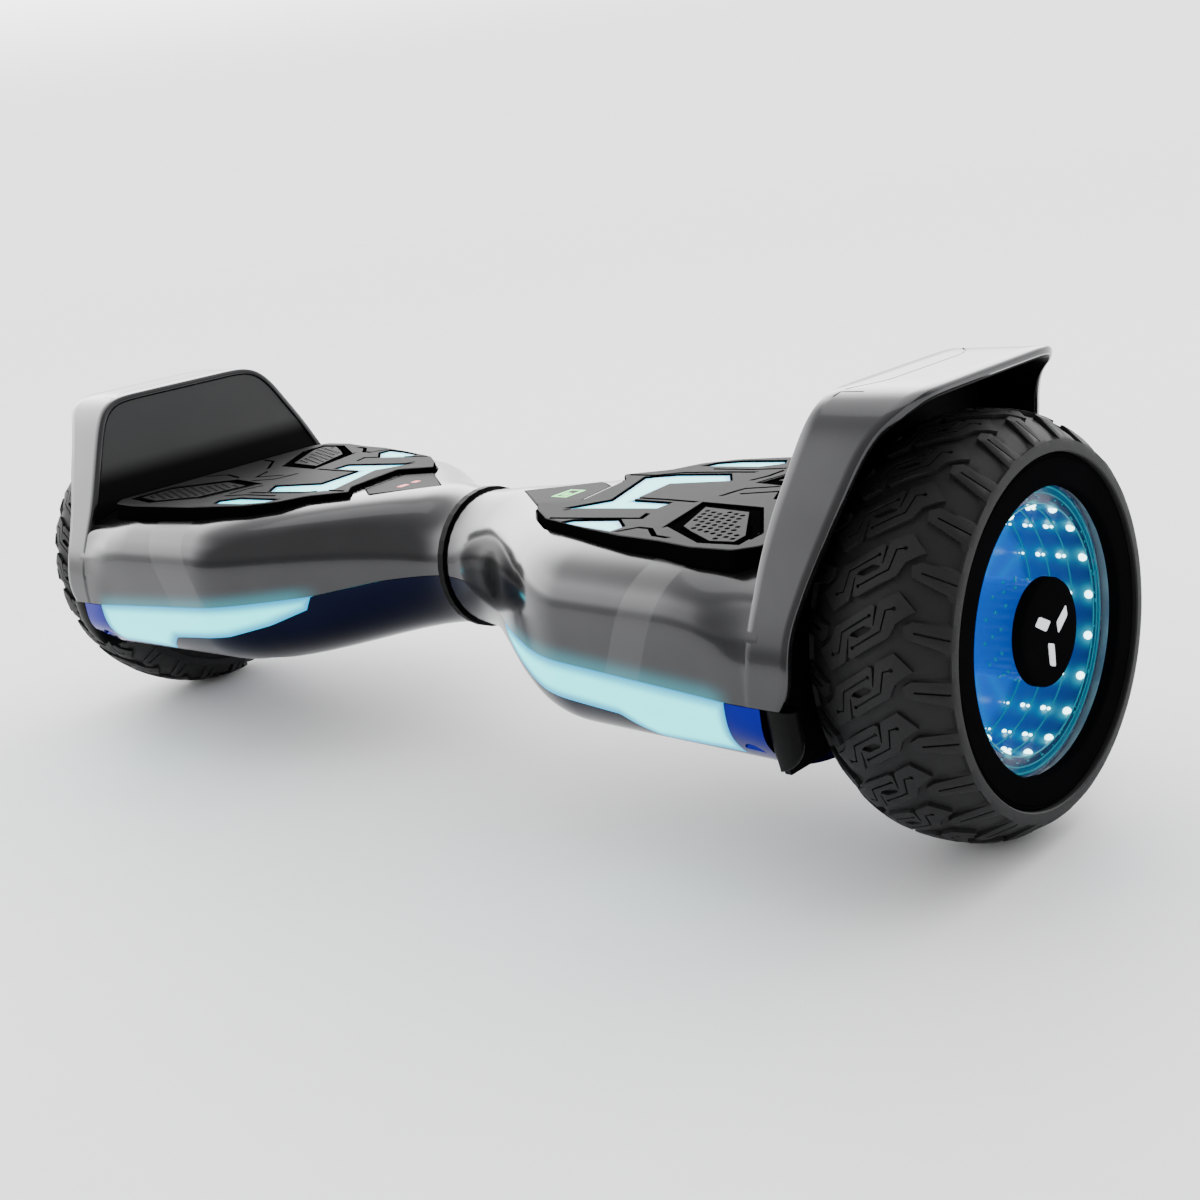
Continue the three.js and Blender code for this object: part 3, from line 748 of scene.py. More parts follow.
def under_fender(x1, shrink, z0, z1, back=0.0):
    fill = prism(shrunk_path(shrink), "x", 215, x1)
    leaning = [(x + back, z) for x, z in reversed(FENDER_INNER_EDGE)]
    side = prism([(320, 70), (320, 192)] + leaning, "y", -130, 130)
    low = prism([(200, -130), (330, -130), (330, 130), (200, 130)], "z", z0, z1)
    return kept_in(fill, side, low)


def engraved_line(points, radius=0.55):
    """A thin round cutter along points on the surface of the fender."""
    curve = bpy.data.curves.new("cutter", "CURVE")
    curve.dimensions = "3D"
    curve.bevel_depth = radius * MM
    curve.bevel_resolution = 1
    curve.use_fill_caps = True
    spline = curve.splines.new("POLY")
    spline.points.add(len(points) - 1)
    for point, co in zip(spline.points, points):
        point.co = (*(c * MM for c in co), 1)
    source = bpy.data.objects.new("cutter", curve)
    bpy.context.scene.collection.objects.link(source)
    mesh = bpy.data.meshes.new_from_object(source.evaluated_get(bpy.context.evaluated_depsgraph_get()))
    bpy.data.objects.remove(source)
    tool = bpy.data.objects.new("cutter", mesh)
    bpy.context.scene.collection.objects.link(tool)
    work = bmesh.new()
    work.from_mesh(mesh)
    bmesh.ops.remove_doubles(work, verts=work.verts, dist=1e-6)
    bmesh.ops.recalc_face_normals(work, faces=work.faces)
    work.to_mesh(mesh)
    work.free()
    return tool


def on_band(x, y):
    """A point on the upper part of the fender's outer surface."""
    for (y0, z0), (y1, z1) in zip(PATH, PATH[1:]):
        if y0 <= y <= y1:
            return x, y, mix(z0, z1, (y - y0) / (y1 - y0))
    return x, y, FENDER_TOP_Z


# Lines engraved in the fender, as (x, y) places: a long one that turns down at its end, and a corner.
FENDER_LINE = softened(resampled([(265.3, 1), (265.3, -25), (263, -32), (256, -41.5)], 1.5), 3)
FENDER_CORNER = [(266, -44.2), (263, -44.2), (259, -44.2), (255.8, -44.2), (255.4, -46), (255, -48)]


# ------------------------------------------------------------------ shells
def upper_shell():
    cavity = skin(NECK_X - 2, BODY_END_X - WALL, WALL, 40, 80)
    shell = cut(merged(skin(NECK_X, BODY_END_X, 0), under_fender(BODY_END_X, 1.7, 76, 119, 0.5)), cavity)
    trays = ((grown(PAD_OUTLINE, PAD_RIM + 2), TRAY_FLOOR_Z - WALL), (grown(PANEL_OUTLINE, 2), 124.5))
    for outline, floor in trays:
        merged(shell, kept_in(prism(outline, "z", floor, 160), skin(NECK_X, BODY_END_X, 0.05)))
    merged(shell, fender_band())
    cut(shell, prism(rounded(grown(PAD_OUTLINE, PAD_RIM), 3), "z", TRAY_FLOOR_Z, 160))
    cut(shell, prism(grown(PANEL_OUTLINE, GAP + 0.1), "z", 127.5, 160), below_parting(0))
    for side in (-1, 1):
        cut(shell, prism(circle(SWITCH_X, side * SWITCH_Y, 6), "z", 100, 130))
        cut(shell, engraved_line([on_band(x, side * y) for x, y in FENDER_LINE]))
        cut(shell, engraved_line([on_band(x, side * y) for x, y in FENDER_CORNER]))
    return cut(shell, prism(circle(0, AXLE_Z, 15), "x", BODY_END_X - 15, BODY_END_X + 10))


def foot_wall():
    shifted = [[(x + d, z) for x, z in FENDER_INNER_EDGE] for d in (1 + WALL, 1)]
    slab = prism(shifted[0] + list(reversed(shifted[1])), "y", -130, 130)
    plate = kept_in(under_fender(300, FENDER_T + GAP, 119 + GAP, 190), slab)
    return cut(plate, skin(200, BODY_END_X + 4, -GAP, 8, 120))


def headlight_outline(top_z):
    """The headlight's lower edge and its upright outer end, up to a height."""
    edge = [(x, z) for x, z in HEADLIGHT_FOOT if x < HEADLIGHT_END_X]
    return edge + [(HEADLIGHT_END_X, 56), (HEADLIGHT_END_X, top_z)]


def lower_shell(name, extra=()):
    shell = cut(skin(NECK_X, BODY_END_X, 0), skin(NECK_X - 2, BODY_END_X - WALL, WALL, 40, 80))
    kept_in(shell, below_parting(GAP))
    opening = headlight_outline(92) + [(73, 92)]
    cut(shell, prism(grown(opening, GAP), "y", -130, -20))
    cut(shell, prism(grown(UNDERGLOW_OUTLINE, GAP), "z", 20, 62))
    cut(shell, prism(circle(0, AXLE_Z, 15), "x", BODY_END_X - 15, BODY_END_X + 10))
    cut(shell, prism(circle(233.6, 58, 5.2), "y", -130, -91))
    cut(shell, *extra)
    shell.name = name
    return shell


def headlight_lens():
    """A lit bar that lies in the skin, from its lower edge up to the parting line."""
    columns, rows_up = 110, 12
    outline = headlight_outline(value_on(PARTING, HEADLIGHT_END_X))
    front = []
    for i in range(columns + 1):
        x = mix(73.4, HEADLIGHT_END_X - 0.1, i / columns)
        low, high = value_on(HEADLIGHT_FOOT, x), value_on(PARTING, x) - GAP
        for j in range(rows_up + 1):
            z = mix(low, high, j / rows_up)
            front.append((x, skin_front(x, z), z))
    back = [(x, y + 2.4, z) for x, y, z in front]
    wide = rows_up + 1
    faces = []
    for i in range(columns):
        for j in range(rows_up):
            a = i * wide + j
            face = [a, a + 1, a + wide + 1, a + wide]
            faces += [face, [len(front) + k for k in face]]
    border = [i * wide for i in range(columns + 1)] + [columns * wide + j for j in range(1, wide)]
    border += [i * wide + rows_up for i in reversed(range(columns))] + list(range(rows_up - 1, 0, -1))
    for a, b in zip(border, border[1:] + border[:1]):
        faces.append([a, b, b + len(front), a + len(front)])
    lens = solid("right_headlight", front + back, faces)
    attribute = lens.data.attributes.new("glow", "FLOAT", "POINT")
    for i, vertex in enumerate(lens.data.vertices):
        x, z = vertex.co.x / MM, vertex.co.z / MM
        attribute.data[i].value = smooth(edge_distance(outline, x, z) / 5.5)
    return lens


def arch_liner():
    """The black panel behind the wheel, with a rounded lobe that curls out at its front and rear corners."""
    x0 = BODY_END_X + GAP
    reach = FENDER_FOOT_Y - FENDER_T - GAP
    plate = lathe("right_arch_liner_panel", [(x0, 24.2), (x0, reach), (x0 + 3, reach), (x0 + 3, 24.2)])
    under_band = [(y, z) for y, z in reversed(shrunk_path(4.2)) if z > 84]
    room = [(-130, 40), (130, 40), (130, 84), (94, 84)] + under_band + [(-94, 84), (-130, 84)]
    kept_in(plate, prism([(200, -130), (300, -130), (300, 130), (200, 130)], "z", 50, 117.8),
            prism(room, "x", 200, 300))
    for start, turn in ((183.4, 1), (-3.4, -1)):
        rows = []
        for k in range(25):
            share = k / 24
            angle = math.radians(start + turn * 16.4 * share)
            end = max(0.12, math.sqrt(max(0.0, 1 - max(0.0, (share - 0.35) / 0.65) ** 2)))
            reach, thick = 14.0 * end, 7.0 * (0.4 + 0.6 * end)
            ring = []
            for j in range(16):
                around = 2 * math.pi * j / 16
                x = x0 + 0.2 + reach / 2 + reach / 2 * signed_power(math.cos(around), 0.7)
                r = 97.6 - thick / 2 - (1 - end) * 1.2 + thick / 2 * signed_power(math.sin(around), 0.7)
                ring.append((x, r * math.cos(angle), AXLE_Z + r * math.sin(angle)))
            rows.append(ring)
        merged(plate, loft("lobe", rows))
    return plate


def fender_lining():
    """The black skin under a fender."""
    rows = []
    for (y, z), (ny, nz) in zip(PATH, path_normals()):
        if z < 83:
            continue
        a = mix(BODY_END_X + 3.5, edge_at(FENDER_INNER_EDGE, z) + 4.8, smooth((z - 119) / 6))
        b = edge_at(FENDER_OUTER_EDGE, z) - 0.9
        ring = [(a, -FENDER_T - 0.05), (b, -FENDER_T - 0.05), (b, -FENDER_T - 0.7), (a, -FENDER_T - 0.7)]
        rows.append([(x, y + ny * n, z + nz * n) for x, n in ring])
    return loft("right_fender_lining", rows)


slot_cuts = [prism([(a - SPEAKER_X, SPEAKER_Y + s + b) for a, b in ((-10, -1), (10, -1), (10, 1), (-10, 1))],
                   "z", 30, 49) for s in (-12, -6, 0, 6, 12)]
rear_cuts = slot_cuts + [
    prism(circle(-BUTTON_X, BUTTON_Z, BUTTON_R + GAP), "y", 70, 120),
    prism(circle(-PORT_X, PORT_Z, PORT_R + GAP), "y", 70, 120),
    prism(circle(-PORT_X, PORT_Z, PORT_R + 2), "y", PORT_FACE - 1.5, 120),
    prism([(-PORT_X - 5.5, PORT_Z + 7), (-PORT_X + 5.5, PORT_Z + 7), (-PORT_X + 5.5, PORT_Z + 13.4),
           (-PORT_X - 5.5, PORT_Z + 13.4)], "y", PORT_FACE - 1.5, 120),
]

top = upper_shell()
top.name = "right_upper_shell_skin"
both_sides(shade(top), turned_copy, MATERIALS["shell"], "half", "shell_gunmetal", "upper_shell")
wall = foot_wall()
wall.name = "right_foot_wall_panel"
both_sides(shade(wall), turned_copy, MATERIALS["wall"], "half", "foot_wall_matte", "foot_wall")
place(shade(lower_shell("right_lower_shell_skin")), MATERIALS["belly"], "right_half", "shell_gunmetal",
      "right_lower_shell")
left_lower_source = lower_shell("left_lower_source", rear_cuts)
left_lower = mirrored_copy(shade(left_lower_source), "left_lower_shell_skin")
bpy.data.objects.remove(left_lower_source)
place(left_lower, MATERIALS["belly"], "left_half", "shell_gunmetal", "left_lower_shell")
both_sides(shade(arch_liner(), 40), mirrored_copy, MATERIALS["black"], "half", "liner_black", "arch_liner")
both_sides(shade(fender_lining()), turned_copy, MATERIALS["black"], "half", "liner_black")
both_sides(shade(headlight_lens()), mirrored_copy, MATERIALS["light"], "half", "cyan_light", "headlight_lens")

# ------------------------------------------------------------------ foot pads
HEX_PATCH = [(168, -52), (157, -14), (191, -18), (217, -53), (220, -70), (200, -71)]
HEX_PLATE = [(176, -51), (163.5, -21), (190, -25), (213, -57), (214.5, -66), (203, -67)]
REAR_PATCH = [(168, 56), (160, 22), (190, 17), (222, 40), (224, 66), (196, 71)]
REAR_PLATE = [(174, 54), (166.5, 27), (190, 22.5), (217, 43), (218, 62), (197, 66)]
# Grooves cut so that the pad's painted shade shows black in them; the last four trace the edges of the
# slotted patches, where only shadow lines fall.
PAD_GROOVES = [
    ([(99, -51), (124, -47), (146, -43), (143, -35)], 2.6),
    ([(150, -64), (156, -56), (163, -56.5), (173, -65.5), (182, -67)], 2.4),
    ([(112, -12), (134, -12.5), (153, -14)], 2.4),
    ([(95, -38), (99, -32), (109, -17), (104, 12)], 2.0),
    ([(77, 27), (92, 27.5), (104, 34.5), (130, 38.5), (144, 40)], 2.6),
    ([(157, -3), (158.5, 6), (160, 11), (175, 17)], 2.4),
    ([(164, 2), (181, 9), (188, -4)], 2.4),
    ([(196, -10), (214, -27), (228, -30)], 2.2),
    ([(194, 12), (212, 7), (227, 13)], 2.2),
    ([(152, 25), (155.5, 34), (156, 45)], 2.4),
    ([(116, 43), (140, 44.5), (155, 49)], 2.4),
    ([(168, -54), (156.5, -14), (191, -17.5), (218, -53), (219, -62)], 1.7),
    ([(174, -50), (203, -69.5), (216, -68.5), (214.5, -56), (203, -41)], 1.7),
    ([(167, 58), (158.5, 22), (190, 16.5), (223, 39), (225, 60)], 1.7),
    ([(176, 55), (196, 68), (219.5, 63.5), (218.5, 50)], 1.5),
]


def slot_marks(plate, direction, spacing, length, width):
    """Rows of short slots that fill a plate, set out along a direction and staggered."""
    along = Vector(direction).normalized()
    side = Vector((-along.y, along.x))
    centre = Vector((sum(p[0] for p in plate) / len(plate), sum(p[1] for p in plate) / len(plate)))
    shrunk = grown(plate, -2.4)
    tools = []
    for i in range(-9, 10):
        for j in range(-9, 10):
            spot = centre + along * spacing[0] * (i + 0.5 * (j % 2)) + side * spacing[1] * j
            if inside(shrunk, *spot):
                corners = ((-1, -0.5), (0, -1), (1, -0.5), (1, 0.5), (0, 1), (-1, 0.5))
                outline = [tuple(spot + along * u * width / 2 + side * v * length / 2) for u, v in corners]
                tools.append(prism(outline, "z", PAD_TOP_Z - 1.9, PAD_TOP_Z + 2))
    return tools


def footpad():
    outline = rounded(anticlockwise(PAD_OUTLINE), 2.2, 4)
    layers = [(outline, PAD_BOTTOM_Z), (outline, PAD_TOP_Z - 1.2), (grown(outline, -0.35), PAD_TOP_Z - 0.4),
              (grown(outline, -1.1), PAD_TOP_Z)]
    pad = stack("right_footpad_mat", layers)
    for side in (-1, 1):
        merged(pad, prism(circle(SWITCH_X, side * SWITCH_Y, 5), "z", 112.3, PAD_BOTTOM_Z + 1))
    for bar in LIGHT_BARS:
        cut(pad, prism(grown(bar, GAP), "z", PAD_BOTTOM_Z + 1, 140))
        # A shallow recess round each bar, black with the pad's painted shade.
        cut(pad, prism(grown(bar, 1.3), "z", PAD_TOP_Z - 1.6, 140))
    cut(pad, prism(grown(LIGHT_PLATE, GAP), "z", PAD_BOTTOM_Z - 1, PAD_BOTTOM_Z + 3))
    for patch, plate in ((HEX_PATCH, HEX_PLATE), (REAR_PATCH, REAR_PLATE)):
        moat = cut(prism(patch, "z", PAD_TOP_Z - 1.1, PAD_TOP_Z + 2), prism(plate, "z", 120, PAD_TOP_Z + 5))
        cut(pad, moat)
        cut(pad, *slot_marks(plate, (0.7, 0.7), (4.2, 4.6), 3.5, 2.3))
    for points, width in PAD_GROOVES:
        cut(pad, prism(stroke(points, width), "z", PAD_TOP_Z - 2.2, PAD_TOP_Z + 2))
    return pad


def light_bars():
    """The lit bars, with a fine top so that their glow can fade towards their edges."""
    parts = [prism(LIGHT_PLATE, "z", PAD_BOTTOM_Z + 0.4, PAD_BOTTOM_Z + 2.6)]
    top_z, foot_z = PAD_TOP_Z - 0.8, PAD_BOTTOM_Z + 2.0
    for bar in LIGHT_BARS:
        bar = anticlockwise(bar)
        border = resampled(bar + [bar[0]], 1.5)[:-1]
        count = len(border)
        xs, ys = [p[0] for p in bar], [p[1] for p in bar]
        grid = [(x + 0.4 * (k % 2), y) for x in range(int(min(xs)), int(max(xs)) + 2) for k, y in
                enumerate(range(int(min(ys)), int(max(ys)) + 2))]
        grid = [p for p in grid if inside(bar, *p) and edge_distance(bar, *p) > 0.6]
        points = [Vector(p) for p in border + grid]
        edges = [(i, (i + 1) % count) for i in range(count)]
        flat, _, faces, *_ = delaunay_2d_cdt(points, edges, [], 1, 1e-4)
        faces = [f for f in faces if inside(bar, *(sum((flat[i] for i in f), Vector((0, 0))) / len(f)))]
        verts = [(p.x, p.y, top_z) for p in flat] + [(x, y, foot_z) for x, y in border]
        base = len(flat)
        sides = [[i, (i + 1) % count, base + (i + 1) % count, base + i] for i in range(count)]
        parts.append(solid("bar", verts, list(faces) + sides + [list(range(base, base + count))]))
    piece = joined("right_pad_light_bars", parts)
    attribute = piece.data.attributes.new("glow", "FLOAT", "POINT")
    for i, vertex in enumerate(piece.data.vertices):
        x, y = vertex.co.x / MM, vertex.co.y / MM
        near = max(edge_distance(bar, x, y) if inside(bar, x, y) else 0 for bar in LIGHT_BARS)
        attribute.data[i].value = smooth(near / 3.2)
    return piece


def icon(name, outlines, height=DECK_Z + 0.05):
    piece = joined(name, [prism(o, "z", DECK_Z - 0.6, height) for o in outlines])
    attribute = piece.data.attributes.new("glow", "FLOAT", "POINT")
    for item in attribute.data:
        item.value = 1.0
    return piece


both_sides(shade(footpad(), 25), turned_copy, MATERIALS["rubber"], "pad", "footpad_rubber", "footpad")
both_sides(shade(light_bars(), 50), turned_copy, MATERIALS["light"], "pad", "cyan_light", "footpad_light")
# Painted shade: a black sheet lining the tray's wall, where the gap round the pad falls dark.
liner = cut(prism(rounded(grown(PAD_OUTLINE, PAD_RIM - 0.1), 3), "z", TRAY_FLOOR_Z + 0.1, 130.4),
            prism(rounded(grown(PAD_OUTLINE, PAD_RIM - 0.5), 3), "z", 110, 150))
cut(liner, cut(prism([(0, -130), (300, -130), (300, 130), (0, 130)], "z", 110, 150), skin(NECK_X, 300, 0.9)))
liner.name = "right_pad_surround"
both_sides(shade(liner), turned_copy, MATERIALS["black"], "half", "liner_black")

panel_layers = [(PANEL_OUTLINE, 127.8), (PANEL_OUTLINE, DECK_Z - 0.5), (grown(PANEL_OUTLINE, -0.5), DECK_Z)]
both_sides(shade(stack("right_status_glass", [(anticlockwise(o), z) for o, z in panel_layers])), turned_copy,
           MATERIALS["panel"], "half", "panel_black", "status_panel")


# ------------------------------------------------------------------ tyres
TREAD_DEPTH = 1.9
PITCH = 15.0
RIGHT_HOOK = [(6.5, 7.9), (13.2, 10.6), (19.8, 6.1), (17.1, 4.9), (13.4, 2.8), (11.2, -0.7), (-3.4, -6.8),
              (-4.9, -6.5), (-4.9, -1.3), (-1.2, -1.5), (3.8, 0.4), (5.4, 2.2), (6.1, 7.2)]
HOOK_SIPE = [(12.4, 6.4), (9.3, 5.8), (8.0, 0.6), (-3.2, -4.1)]
LUG = [(16.0, 2.2), (19.1, 3.6), (33.0, 2.8), (33.0, -4.5), (16.6, -0.5)]
LUG_SIPE = [(19.6, 0.8), (31.0, -0.7)]
SIDEWALL = [(30.5, 73.4), (30.8, 71.2), (30.8, 69.3), (30.3, 68.8), (24.3, 68.8), (24.3, 62.1), (0, 62.1)]
CROWN_HALF = 30.0
TAIL_STEP = 3.0
TREAD_START = 0.9
DEGREE = math.pi * WHEEL_R / 180


def point_mirror(points):
    return [(-x, -a) for x, a in points]


def strip(points, width):
    """A narrow closed outline along a polyline of (x, degrees) points."""
    flat = [Vector((x, a * DEGREE)) for x, a in points]
    left, right = [], []
    for i, p in enumerate(flat):
        a, b = flat[max(0, i - 1)], flat[min(len(flat) - 1, i + 1)]
        along = (b - a).normalized()
        side = Vector((-along.y, along.x)) * width / 2
        left.append(p + side)
        right.append(p - side)
    return [(p.x, p.y / DEGREE) for p in right + list(reversed(left))]


def dot(x, a, r):
    return [(u, v / DEGREE) for u, v in circle(x, a * DEGREE, r, 8)]


def tyre_profile(u):
    """The (x, r) place and the outward normal of the tyre's outer face at u across it."""
    side = math.copysign(1.0, u)
    u = abs(u)
    if u <= CROWN_HALF:
        r = WHEEL_R - 6 * (u / 23.8) ** 2.55
        slope = -6 * 2.55 / 23.8 * (u / 23.8) ** 1.55
        normal = Vector((-slope, 1)).normalized()
        return side * u, r, side * normal.x, normal.y
    last = (CROWN_HALF, WHEEL_R - 6 * (CROWN_HALF / 23.8) ** 2.55)
    line = [(CROWN_HALF + TAIL_STEP * i, p) for i, p in enumerate([last] + SIDEWALL)]
    x, r = (value_on([(at, p[k]) for at, p in line], u) for k in (0, 1))
    return side * x, r, side * 0.8, 0.6


def tread_cell():
    """One pitch of the tread as flat triangles in (u, degrees), each with its depth below the surface."""
    blocks = [RIGHT_HOOK, point_mirror(RIGHT_HOOK), LUG, point_mirror(LUG)]
    sipes = [strip(HOOK_SIPE, 0.75), dot(*HOOK_SIPE[0], 0.85), dot(*HOOK_SIPE[-1], 0.75),
             strip(LUG_SIPE, 0.8)]
    sipes += [point_mirror(s) for s in sipes]

    def repeats(outlines):
        return [[(x, a + TREAD_START + PITCH * k) for x, a in o] for o in outlines for k in (-1, 0, 1, 2)]

    block_outlines, sipe_outlines = repeats(blocks), repeats(sipes)
    points, edges = [], []
    for outline in block_outlines + sipe_outlines:
        start = len(points)
        points += [Vector((x, a * DEGREE)) for x, a in outline]
        edges += [(start + i, start + (i + 1) % len(outline)) for i in range(len(outline))]
    tail = [CROWN_HALF + TAIL_STEP * i for i in range(1, len(SIDEWALL) + 1)]
    crown = [0, 4, 8, 12, 16, 20, 23, 25.5, 28, 30]
    columns = sorted({s * u for u in crown + tail for s in (-1, 1)})
    for k in range(-6, 13):
        for u in columns:
            points.append(Vector((u, k * PITCH / 6 * DEGREE)))
    for edge_angle in (0, PITCH):
        start = len(points)
        points += [Vector((u, edge_angle * DEGREE)) for u in columns]
        edges += [(start + i, start + i + 1) for i in range(len(columns) - 1)]
    flat, _, faces, *_ = delaunay_2d_cdt(points, edges, [], 0, 1e-5)
    triangles = []
    for face in faces:
        x, a = (sum(flat[i][k] for i in face) / 3 for k in (0, 1))
        a /= DEGREE
        if not 0 < a < PITCH:
            continue
        depth = TREAD_DEPTH
        if any(inside(o, x, a) for o in block_outlines):
            depth = 1.3 if any(inside(o, x, a) for o in sipe_outlines) else 0.0
        triangles.append((tuple(face), depth))
    return [(p.x, p.y / DEGREE) for p in flat], triangles


def tyre():
    flat, triangles = tread_cell()

    def spot(i, depth, turn):
        u, a = flat[i]
        x, r, nx, nr = tyre_profile(u)
        sunk = depth * (1 - smooth((abs(u) - CROWN_HALF) / TAIL_STEP))
        angle = math.radians(180 - a - turn)
        x, r = TYRE_X + x - nx * sunk, r - nr * sunk
        return x, r * math.cos(angle), AXLE_Z + r * math.sin(angle)

    by_edge = {}
    for face, depth in triangles:
        for a, b in zip(face, face[1:] + face[:1]):
            by_edge.setdefault(frozenset((a, b)), []).append((a, b, depth))
    verts, faces = [], []
    for k in range(int(360 / PITCH)):
        index = {}

        def vertex(i, depth):
            key = (i, depth)
            if key not in index:
                index[key] = len(verts)
                verts.append(spot(i, depth, k * PITCH))
            return index[key]

        for face, depth in triangles:
            faces.append([vertex(i, depth) for i in face])
        for sides in by_edge.values():
            if len(sides) == 2 and sides[0][2] != sides[1][2]:
                (a, b, depth), beyond = sides[0], sides[1][2]
                faces.append([vertex(b, depth), vertex(a, depth), vertex(a, beyond), vertex(b, beyond)])
    return solid("right_tyre_tread", verts, faces)


both_sides(shade(tyre(), 30), mirrored_copy, MATERIALS["tyre"], "wheel", "tyre", "tyre")

# ------------------------------------------------------------------ the lit wheel face
LED_COUNT = 18
LED_R = 47.0
WELL_R = 49.0
# Rows of lamps, front first: the first row stands for the real ring; the three deeper rows are painted
# reflections of it.
RING_XS = [300.2 - 9.2 * k for k in range(4)]


def painted_well_light(x, r, angle):
    """Painted light in the well: blue, bright on its floor and dark on its wall, with a painted cyan pool
    round each lamp.
    """
    if r > WELL_R + 0.5:
        rim = max(0.0, 1 - abs(r - 54.5) / 2.5)
        return 0.0, 0.01 + 0.10 * rim, 0.04 + 0.16 * rim
    floor = smooth((WELL_R - r) / 3)
    depth = clamp01((x - WELL_FLOOR_X) / (RING_XS[0] - WELL_FLOOR_X))
    # Painted pools of lamp light round each row of lamps, fainter for the deeper rows.
    shine = 0.0
    for k, ring_x in enumerate(RING_XS):
        turn = (angle / (2 * math.pi) * LED_COUNT) % 1.0
        off = min(turn, 1 - turn) * 2 * math.pi * LED_R / LED_COUNT
        away = math.hypot(off, (x - ring_x) if floor < 0.5 else 6.0)
        shine += math.exp(-(away / 3.4) ** 2) * (1.0, 0.7, 0.45, 0.3)[k]
    wall = (0.0, mix(0.07, 0.02, depth), mix(0.40, 0.13, depth))
    ground = (0.0, mix(0.13, 0.10, r / WELL_R), mix(0.85, 0.62, r / WELL_R))
    base = [mix(w, g, floor) for w, g in zip(wall, ground)]
    return base[0] + 0.02 * shine, base[1] + 0.62 * shine, base[2] + 0.55 * shine


def light_well():
    wall = [(WELL_FLOOR_X + (WINDOW_X - 0.9 - WELL_FLOOR_X) * t / 20, WELL_R) for t in range(21)]
    floor = [(WELL_FLOOR_X, WELL_R * t / 12) for t in range(13)]
    profile = floor + wall[1:] + [(WINDOW_X - 0.9, r) for r in (50.5, 52, 53.5, 55, 56.5, 57.6)]
    profile += [(270.4, 57.6), (270.4, 0)]
    well = lathe("right_light_well_lit", profile, steps=216)
    colours = well.data.attributes.new("glow_colour", "FLOAT_COLOR", "POINT")
    for item, vertex in zip(colours.data, well.data.vertices):
        x, y, z = (c / MM for c in vertex.co)
        colour = painted_well_light(x, math.hypot(y, z - AXLE_Z), math.atan2(z - AXLE_Z, y))
        item.color = (*colour, 1)
    return well


def lamp_rings():
    """Domes on the wall of the well, in rings that shrink as they go deeper; the rings behind the first are
    painted reflections of it, built as lit domes.
    """
    domes = []
    for k, ring_x in enumerate(RING_XS):
        size = (1.75, 1.15, 1.0, 0.8)[k]
        for i in range(LED_COUNT):
            angle = 2 * math.pi * i / LED_COUNT
            spots = [0.0] if k == 0 else [-1.3, 1.1]
            for shift in spots:
                domes.append(dome(ring_x + shift, angle, size if shift <= 0 else size * 0.7))
    piece = joined("right_lamp_domes", domes)
    glow_all(piece, 1.0)
    return piece


def dome(x, angle, size):
    """Half a ball that faces the axle, with its rim sunk in the wall."""
    verts, faces = [], []
    rings, around = 4, 12
    inward = Vector((0, -math.cos(angle), -math.sin(angle)))
    side = Vector((0, -math.sin(angle), math.cos(angle)))
    centre = Vector((x, 0, AXLE_Z)) - inward * (WELL_R - 0.4)
    for a in range(rings):
        tilt = math.pi / 2 * a / rings
        height = size * math.sin(tilt) * 0.9 + 0.3
        for b in range(around):
            turn = 2 * math.pi * b / around
            flat = Vector((1, 0, 0)) * math.cos(turn) + side * math.sin(turn)
            verts.append(tuple(centre + flat * size * math.cos(tilt) + inward * height))
    verts.append(tuple(centre + inward * (size * 0.9 + 0.3)))
    for a in range(rings - 1):
        faces += [[a * around + b, a * around + (b + 1) % around, (a + 1) * around + (b + 1) % around,
                   (a + 1) * around + b] for b in range(around)]
    last = (rings - 1) * around
    faces += [[last + b, last + (b + 1) % around, len(verts) - 1] for b in range(around)]
    faces.append(list(range(around)))
    return solid("dome", verts, faces)


def glow_all(piece, value):
    attribute = piece.data.attributes.new("glow", "FLOAT", "POINT")
    attribute.data.foreach_set("value", [value] * len(piece.data.vertices))


def light_lines():
    """Thin rings of light at each row of lamps, those at the deeper rows painted reflections, and short
    dashes round the rim and the spacer.
    """
    parts = [ring_line(x + 1.6, WELL_R - 0.25, 0.22) for x in RING_XS]
    parts.append(ring_line(WINDOW_X - 0.9, 53.0, 0.25))
    parts.append(ring_line(WINDOW_X - 0.9, 55.6, 0.3))
    for i in range(54):
        start = 2 * math.pi * i / 54 + 0.05 * math.sin(i * 2.4)
        r, length = 51.2 + 0.8 * math.sin(i * 1.7), 0.018 + 0.012 * math.sin(i * 3.1)
        parts.append(dash(WINDOW_X - 0.9, r, start, length))
    for i in range(40):
        start = 2 * math.pi * i / 40
        parts.append(dash(299.0 - 3.4 * (i % 3), 19.7, start, 0.06, 0.35))
    piece = joined("right_light_lines", parts)
    glow_all(piece, 0.8)
    return piece


def ring_line(x, r, half):
    corners = ((-half, -half), (half, -half), (half, half), (-half, half))
    return lathe("line", [(x + a, r + b) for a, b in corners], steps=144)


def dash(x, r, start, length, half=0.28):
    verts, faces = [], []
    for k in range(5):
        angle = start + length * (k / 4 - 0.5)
        c, s = math.cos(angle), math.sin(angle)
        for dx, dr in ((-half, -half), (half, -half), (half, half), (-half, half)):
            verts.append((x + dx, (r + dr) * c, AXLE_Z + (r + dr) * s))
    for k in range(4):
        faces += [[k * 4 + j, k * 4 + (j + 1) % 4, k * 4 + 4 + (j + 1) % 4, k * 4 + 4 + j] for j in range(4)]
    return solid("dash", verts, faces + [[0, 1, 2, 3], [16, 17, 18, 19]])


